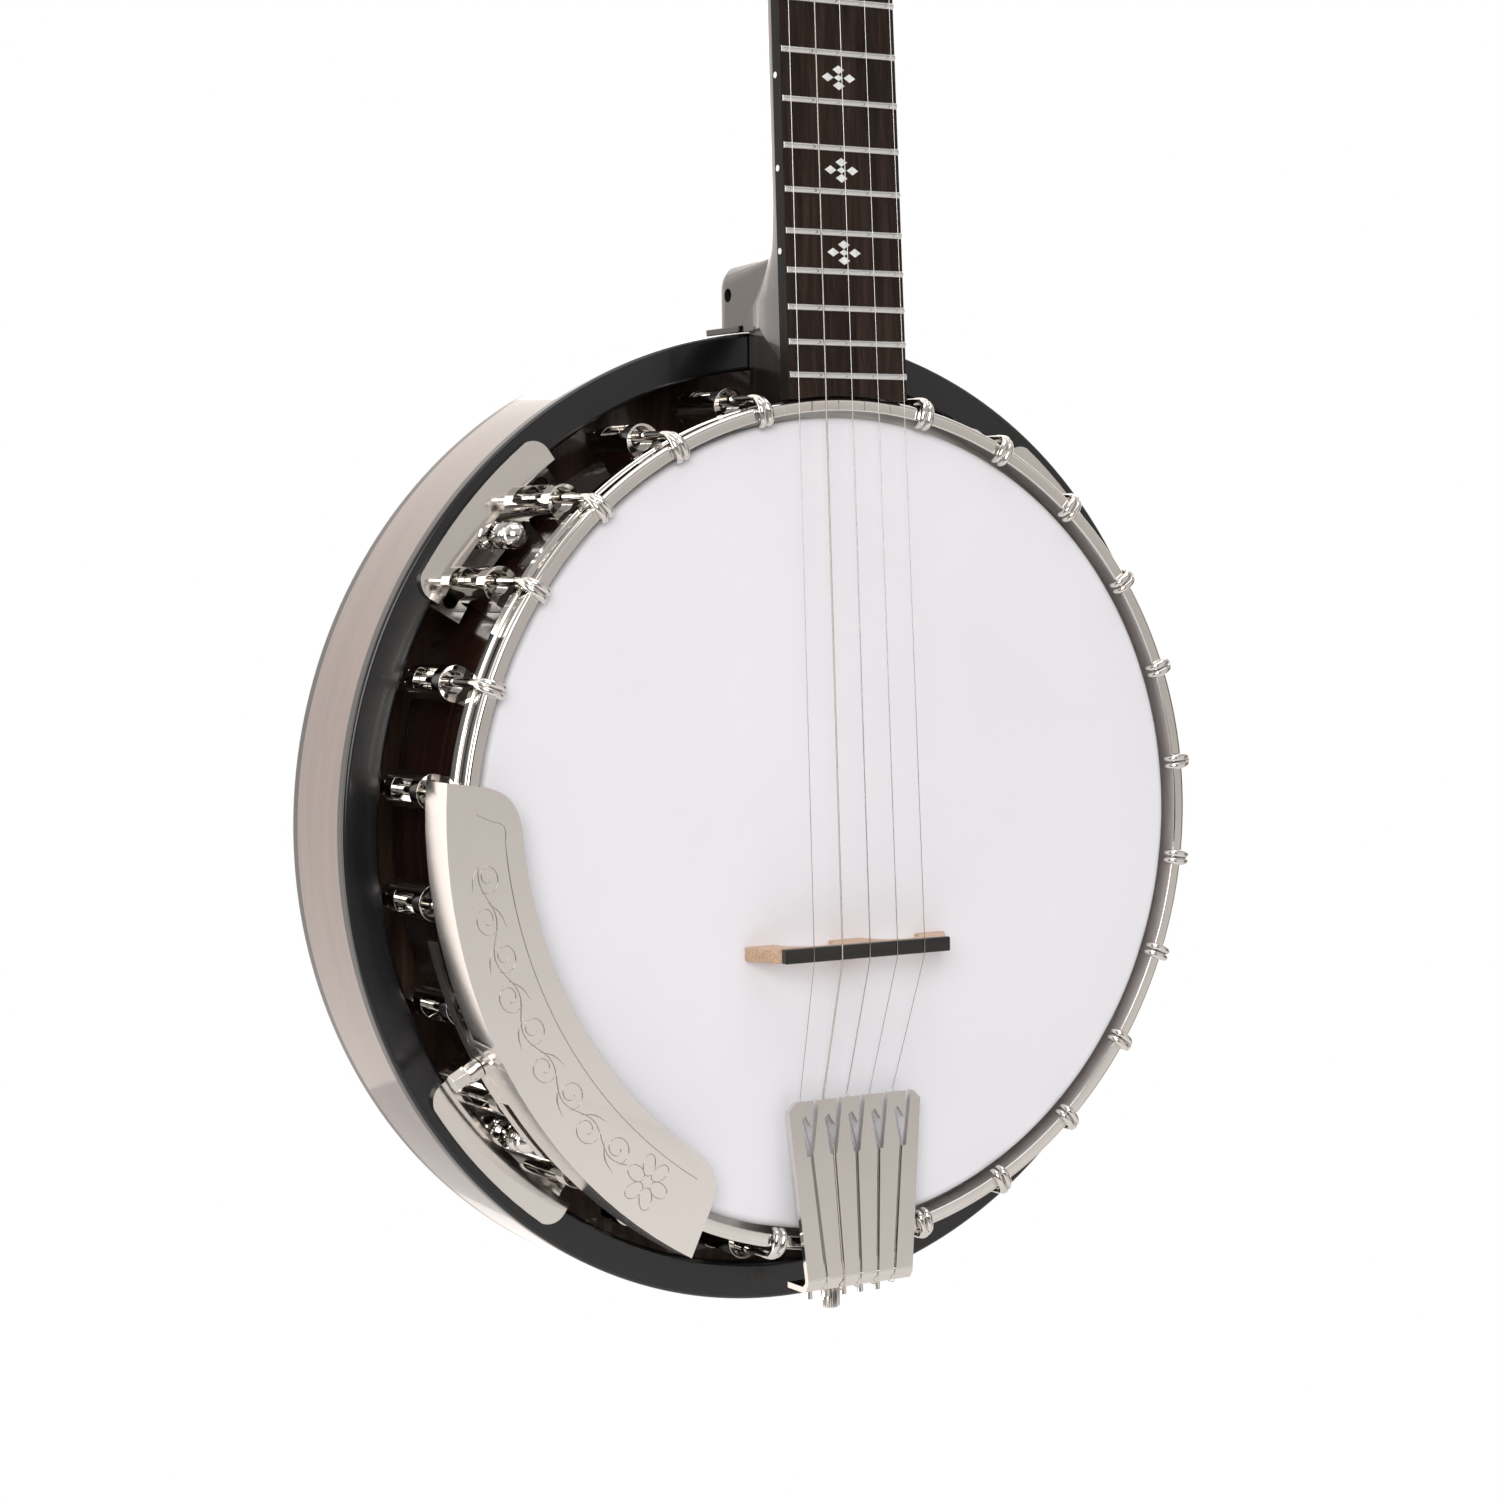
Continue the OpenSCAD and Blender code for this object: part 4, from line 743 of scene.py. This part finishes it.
class BANJO_OT_armrest(bpy.types.Operator):
    """Rounds the armrest's plate, engraves its border and scrolls, and finishes clamp and screw"""
    bl_idname = "banjo.armrest"
    bl_label = "Armrest"

    def execute(self, context):
        sizes, _ = settings()
        refined("armrest_plate", material("front_plate"), edge=0.55, segments=4, angle=50)
        refined("armrest_clamp", material("steel"), edge=0.3)
        refined("armrest_screw", material("plating"), edge=0.4, segments=3)
        depth = sizes.engraving
        steps = 30
        start = ARM_TOP - 5
        span = [start + (ARM_LOW + 9 - ARM_TOP) * i / steps for i in range(steps + 1)]
        border = [on_arm(start + 1.5, 0.62), on_arm(start + 0.6, 0.4)]
        border += [on_arm(a, BORDER) for a in span]
        parts = [rod("border", border, depth, 1, resolution=2)]
        first, last = ARM_TOP - 9.0, ARM_LOW + 15.0
        room = (last - first) / sizes.scrolls
        stem = [on_arm(first + room * i / 4, VINE + 0.07 * math.sin(math.pi * i / 4))
                for i in range(4 * sizes.scrolls + 1)]
        parts.append(rod("stem", stem, depth, 1, resolution=2))
        for k in range(sizes.scrolls):
            middle = first + (k + 0.5) * room
            side = 1 if k % 2 else -1
            curl = []
            for i in range(12):
                turn, left = math.radians(-40 + 40 * i), 1 - i / 15
                curl.append(on_arm(middle + 0.42 * room * left * math.cos(turn),
                                   VINE + side * (0.05 + 0.16 * left * math.sin(turn))))
            parts.append(rod("curl", curl, depth, 1, resolution=2))
            leaf = [on_arm(middle - 0.4 * room, VINE),
                    on_arm(middle - 0.1 * room, VINE - side * 0.12),
                    on_arm(middle + 0.3 * room, VINE - side * 0.17)]
            parts.append(rod("leaf", leaf, [depth * 0.4, depth * 1.4, depth * 0.3], 1,
                             resolution=3))
        heart, petals = ARM_LOW + 11.0, 6
        for k in range(petals):
            turn = math.radians(360 / petals * k)
            petal = [on_arm(heart + 3.6 * reach * math.cos(turn + lean),
                            VINE + 0.30 * reach * math.sin(turn + lean))
                     for reach, lean in ((0.2, 0), (0.65, -0.42), (1.0, 0), (0.65, 0.42))]
            parts.append(rod("petal", petal, depth, 1, closed=True, resolution=3))
        lines = joined(parts, "armrest_engraving")
        settle(lines, Matrix.Translation(POT))
        smooth(lines, 60)
        # The engraved lines take a darker plate colour: painted shade for the grooves
        finish_piece(lines, material("engraved"), BODY_OF["armrest_plate"])
        return {"FINISHED"}


class BANJO_OT_tailpiece(bpy.types.Operator):
    """Finishes the tailpiece, its hanger and its knurled screw"""
    bl_idname = "banjo.tailpiece"
    bl_label = "Tailpiece"

    def execute(self, context):
        sizes, _ = settings()
        refined("tailpiece_plate", material("plating"), edge=0.3, segments=3)
        refined("tailpiece_hanger", material("steel"), edge=0.3)
        node = "tailpiece_screw"
        low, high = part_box(node)
        foot = Vector(((low[0] + high[0]) / 2, (low[1] + high[1]) / 2, low[2]))
        sides = sizes.knurls * 2
        head = [(2.6, 0.0), (3.25, 0.5), (3.25, 10.1), (2.9, 10.6)]
        shaft = [(1.55, 10.65), (1.55, 18.2), (1.1, 18.7)]
        screw = turned("tailpiece_screw_head", head + shaft, sides)
        knurl(screw, sides, 0.4, 10.2, 0.95)
        smooth(screw, 30)
        settle(screw, Matrix.Translation(foot))
        finish_piece(screw, material("plating"), BODY_OF[node], [node])
        return {"FINISHED"}


class BANJO_OT_bridge(bpy.types.Operator):
    """Rounds the bridge and its dark cap"""
    bl_idname = "banjo.bridge"
    bl_label = "Bridge"

    def execute(self, context):
        refined("bridge_body", material("maple"), edge=0.45, segments=3)
        refined("bridge_cap", material("ebony"), edge=0.45, segments=3)
        return {"FINISHED"}


class BANJO_OT_strings(bpy.types.Operator):
    """Finishes the plain strings and the wound fourth"""
    bl_idname = "banjo.strings"
    bl_label = "Strings"

    def execute(self, context):
        for k in (1, 2, 3, 4, 5):
            refined("string_%d" % k, material("wound" if k == 4 else "string"), shade=75, flatten=0)
        return {"FINISHED"}


class BANJO_OT_neck(bpy.types.Operator):
    """Finishes the neck, fingerboard, frets, inlays, nuts and the peghead's face"""
    bl_idname = "banjo.neck"
    bl_label = "Neck"

    def execute(self, context):
        refined("neck", material("neck"), edge=0.5, segments=2, angle=55, shade=42, flatten=0.2)
        refined("heel_cap", material("binding"), edge=0.4)
        refined("fingerboard", material("rosewood"), edge=0.25, angle=60)
        refined("frets", material("fret_wire"), edge=0.12)
        refined("inlays", material("pearl"))
        refined("nut", material("bone"), edge=0.3)
        refined("fifth_nut", material("bone"), edge=0.15)
        refined("peghead_veneer", material("lacquer"), edge=0.25)
        refined("truss_rod", material("steel"))
        refined("truss_nut", material("brass"), edge=0.2)
        refined("truss_cover", material("binding"), edge=0.35, segments=3)
        refined("cover_screws", material("plating"), edge=0.2)
        return {"FINISHED"}


class BANJO_OT_tuners(bpy.types.Operator):
    """Finishes the five geared tuners and their pearloid buttons"""
    bl_idname = "banjo.tuners"
    bl_label = "Tuners"

    def execute(self, context):
        refined("tuner_housings", material("plating"), edge=0.7, segments=3)
        refined("fifth_tuner_body", material("plating"), edge=0.4)
        refined("fifth_tuner_post", material("plating"), edge=0.35)
        for k in (1, 2, 3, 4):
            refined("tuner_post_%d" % k, material("plating"), edge=0.2)
            refined("tuner_button_%d" % k, material("pearloid"), edge=1.1, segments=4)
        refined("fifth_tuner_button", material("pearloid"), edge=1.0, segments=4)
        return {"FINISHED"}


def lay_floor():
    bpy.ops.object.select_all(action="DESELECT")
    bpy.ops.mesh.primitive_circle_add(vertices=64, radius=1.5, fill_type="NGON",
                                      location=(0, 0, cad_low[2] - 0.6))
    floor = bpy.context.object
    floor.name = "studio_floor"
    bpy.ops.object.transform_apply(location=True, rotation=True, scale=True)
    bpy.ops.object.mode_set(mode="EDIT")
    bpy.ops.mesh.select_all(action="SELECT")
    bpy.ops.mesh.inset(thickness=0.3)
    bpy.ops.object.mode_set(mode="OBJECT")
    floor.data.materials.append(material("floor"))


def place_camera(scene):
    """Looks at a point beside the pot from the left and slightly above, with a small roll."""
    aim = POT + Vector((-37.4, 0.0, 27.4)) * MM
    azimuth, elevation, roll = (math.radians(a) for a in (-30.93, 3.44, -0.54))
    distance = 1.086
    back = Vector((math.sin(azimuth) * math.cos(elevation),
                   -math.cos(azimuth) * math.cos(elevation), math.sin(elevation)))
    right = Vector((math.cos(azimuth), math.sin(azimuth), 0.0))
    up = back.cross(right)
    rolled_right = math.cos(roll) * right + math.sin(roll) * up
    rolled_up = -math.sin(roll) * right + math.cos(roll) * up
    lens = bpy.data.cameras.new("camera")
    lens.lens = 76.9
    lens.sensor_width = 36.0
    lens.clip_start = 0.05
    lens.clip_end = 50.0
    camera = bpy.data.objects.new("camera", lens)
    scene.collection.objects.link(camera)
    place = Matrix((rolled_right, rolled_up, back)).transposed().to_4x4()
    place.translation = aim + back * distance
    camera.matrix_world = place
    scene.camera = camera


# Studio lamps: name, place from the pot's centre and size in metres, watts and colour
LAMPS = (
    ("key", (-1.3, -1.7, 0.7), (1.3, 1.3), 25.0, (1.0, 0.985, 0.97)),
    ("fill", (0.95, -1.5, -0.05), (1.5, 1.5), 3.6, (1.0, 0.955, 0.92)),
    ("top", (0.0, -0.3, 1.5), (1.4, 0.9), 7.0, (1.0, 1.0, 1.0)),
    ("rim_left", (-1.7, 0.5, -0.1), (0.5, 1.4), 9.0, (1.0, 0.97, 0.95)),
    ("back", (0.9, 1.6, 0.4), (1.0, 1.0), 5.0, (1.0, 1.0, 1.0)),
)


def hang_lamps(scene):
    for name, where, size, power, tone in LAMPS:
        light = bpy.data.lights.new(name, "AREA")
        light.shape = "RECTANGLE"
        light.size, light.size_y = size
        light.energy = power
        light.color = tone
        lamp = bpy.data.objects.new(name, light)
        lamp.location = POT + Vector(where)
        lamp.rotation_euler = (POT - lamp.location).to_track_quat("-Z", "Y").to_euler()
        scene.collection.objects.link(lamp)


def map_range(tree, value, low, high):
    """Maps low to high onto 0 to 1."""
    node = tree.nodes.new("ShaderNodeMapRange")
    node.inputs["From Min"].default_value = low
    node.inputs["From Max"].default_value = high
    tree.links.new(value, node.inputs["Value"])
    return node.outputs["Result"]


def build_room(scene):
    """White to the camera, but a grey room with a dark horizon to whatever it lights."""
    world = bpy.data.worlds.new("studio")
    scene.world = world
    world.use_nodes = True
    tree = world.node_tree
    tree.nodes.clear()
    out = tree.nodes.new("ShaderNodeOutputWorld")
    mix = tree.nodes.new("ShaderNodeMixShader")
    seen = tree.nodes.new("ShaderNodeLightPath")
    room = tree.nodes.new("ShaderNodeBackground")
    white = tree.nodes.new("ShaderNodeBackground")
    white.inputs["Color"].default_value = (1, 1, 1, 1)
    white.inputs["Strength"].default_value = 1.0
    room.inputs["Strength"].default_value = 0.62
    where = tree.nodes.new("ShaderNodeTexCoord")
    split = tree.nodes.new("ShaderNodeSeparateXYZ")
    tree.links.new(where.outputs["Generated"], split.inputs["Vector"])
    front = ramp(tree, map_range(tree, split.outputs["Z"], -1.0, 1.0), [
        (0.0, (0.45, 0.44, 0.43)), (0.38, (0.62, 0.61, 0.60)), (0.47, (0.06, 0.058, 0.055)),
        (0.53, (0.16, 0.145, 0.135)), (0.60, (0.72, 0.70, 0.69)), (1.0, (0.90, 0.90, 0.92))])
    blend = tree.nodes.new("ShaderNodeMix")
    blend.data_type = "RGBA"
    tree.links.new(map_range(tree, split.outputs["Y"], -0.05, 0.45), blend.inputs["Factor"])
    tree.links.new(front, blend.inputs["A"])
    blend.inputs["B"].default_value = (2.2, 2.05, 1.95, 1)
    tree.links.new(blend.outputs["Result"], room.inputs["Color"])
    tree.links.new(seen.outputs["Is Camera Ray"], mix.inputs["Fac"])
    tree.links.new(room.outputs["Background"], mix.inputs[1])
    tree.links.new(white.outputs["Background"], mix.inputs[2])
    tree.links.new(mix.outputs["Shader"], out.inputs["Surface"])


class BANJO_OT_stage(bpy.types.Operator):
    """Sets the floor, the soft studio light and the camera"""
    bl_idname = "banjo.stage"
    bl_label = "Stage"

    def execute(self, context):
        lay_floor()
        place_camera(context.scene)
        hang_lamps(context.scene)
        build_room(context.scene)
        context.scene.view_settings.view_transform = "Standard"
        return {"FINISHED"}


class BANJO_PT_panel(bpy.types.Panel):
    bl_idname = "BANJO_PT_panel"
    bl_label = "Banjo"
    bl_space_type = "VIEW_3D"
    bl_region_type = "UI"
    bl_category = "Banjo"

    def draw(self, context):
        for group in (context.scene.banjo_sizes, context.scene.banjo_colours):
            box = self.layout.box()
            for name in group.__annotations__:
                box.prop(group, name)
        column = self.layout.column()
        for operator in OPERATORS:
            column.operator(operator.bl_idname)


OPERATORS = (BANJO_OT_pot, BANJO_OT_hooks, BANJO_OT_resonator, BANJO_OT_thumbscrews,
             BANJO_OT_armrest, BANJO_OT_tailpiece, BANJO_OT_bridge, BANJO_OT_strings,
             BANJO_OT_neck, BANJO_OT_tuners, BANJO_OT_stage)
CLASSES = (BanjoSizes, BanjoColours, *OPERATORS, BANJO_PT_panel)


def register():
    for cls in CLASSES:
        bpy.utils.register_class(cls)
    bpy.types.Scene.banjo_sizes = PointerProperty(type=BanjoSizes)
    bpy.types.Scene.banjo_colours = PointerProperty(type=BanjoColours)


def unregister():
    del bpy.types.Scene.banjo_colours
    del bpy.types.Scene.banjo_sizes
    for cls in reversed(CLASSES):
        bpy.utils.unregister_class(cls)


def main():
    register()
    bpy.ops.banjo.pot()
    bpy.ops.banjo.hooks()
    bpy.ops.banjo.resonator()
    bpy.ops.banjo.thumbscrews()
    bpy.ops.banjo.armrest()
    bpy.ops.banjo.tailpiece()
    bpy.ops.banjo.bridge()
    bpy.ops.banjo.strings()
    bpy.ops.banjo.neck()
    bpy.ops.banjo.tuners()
    bpy.ops.banjo.stage()


if __name__ == "__main__":
    main()
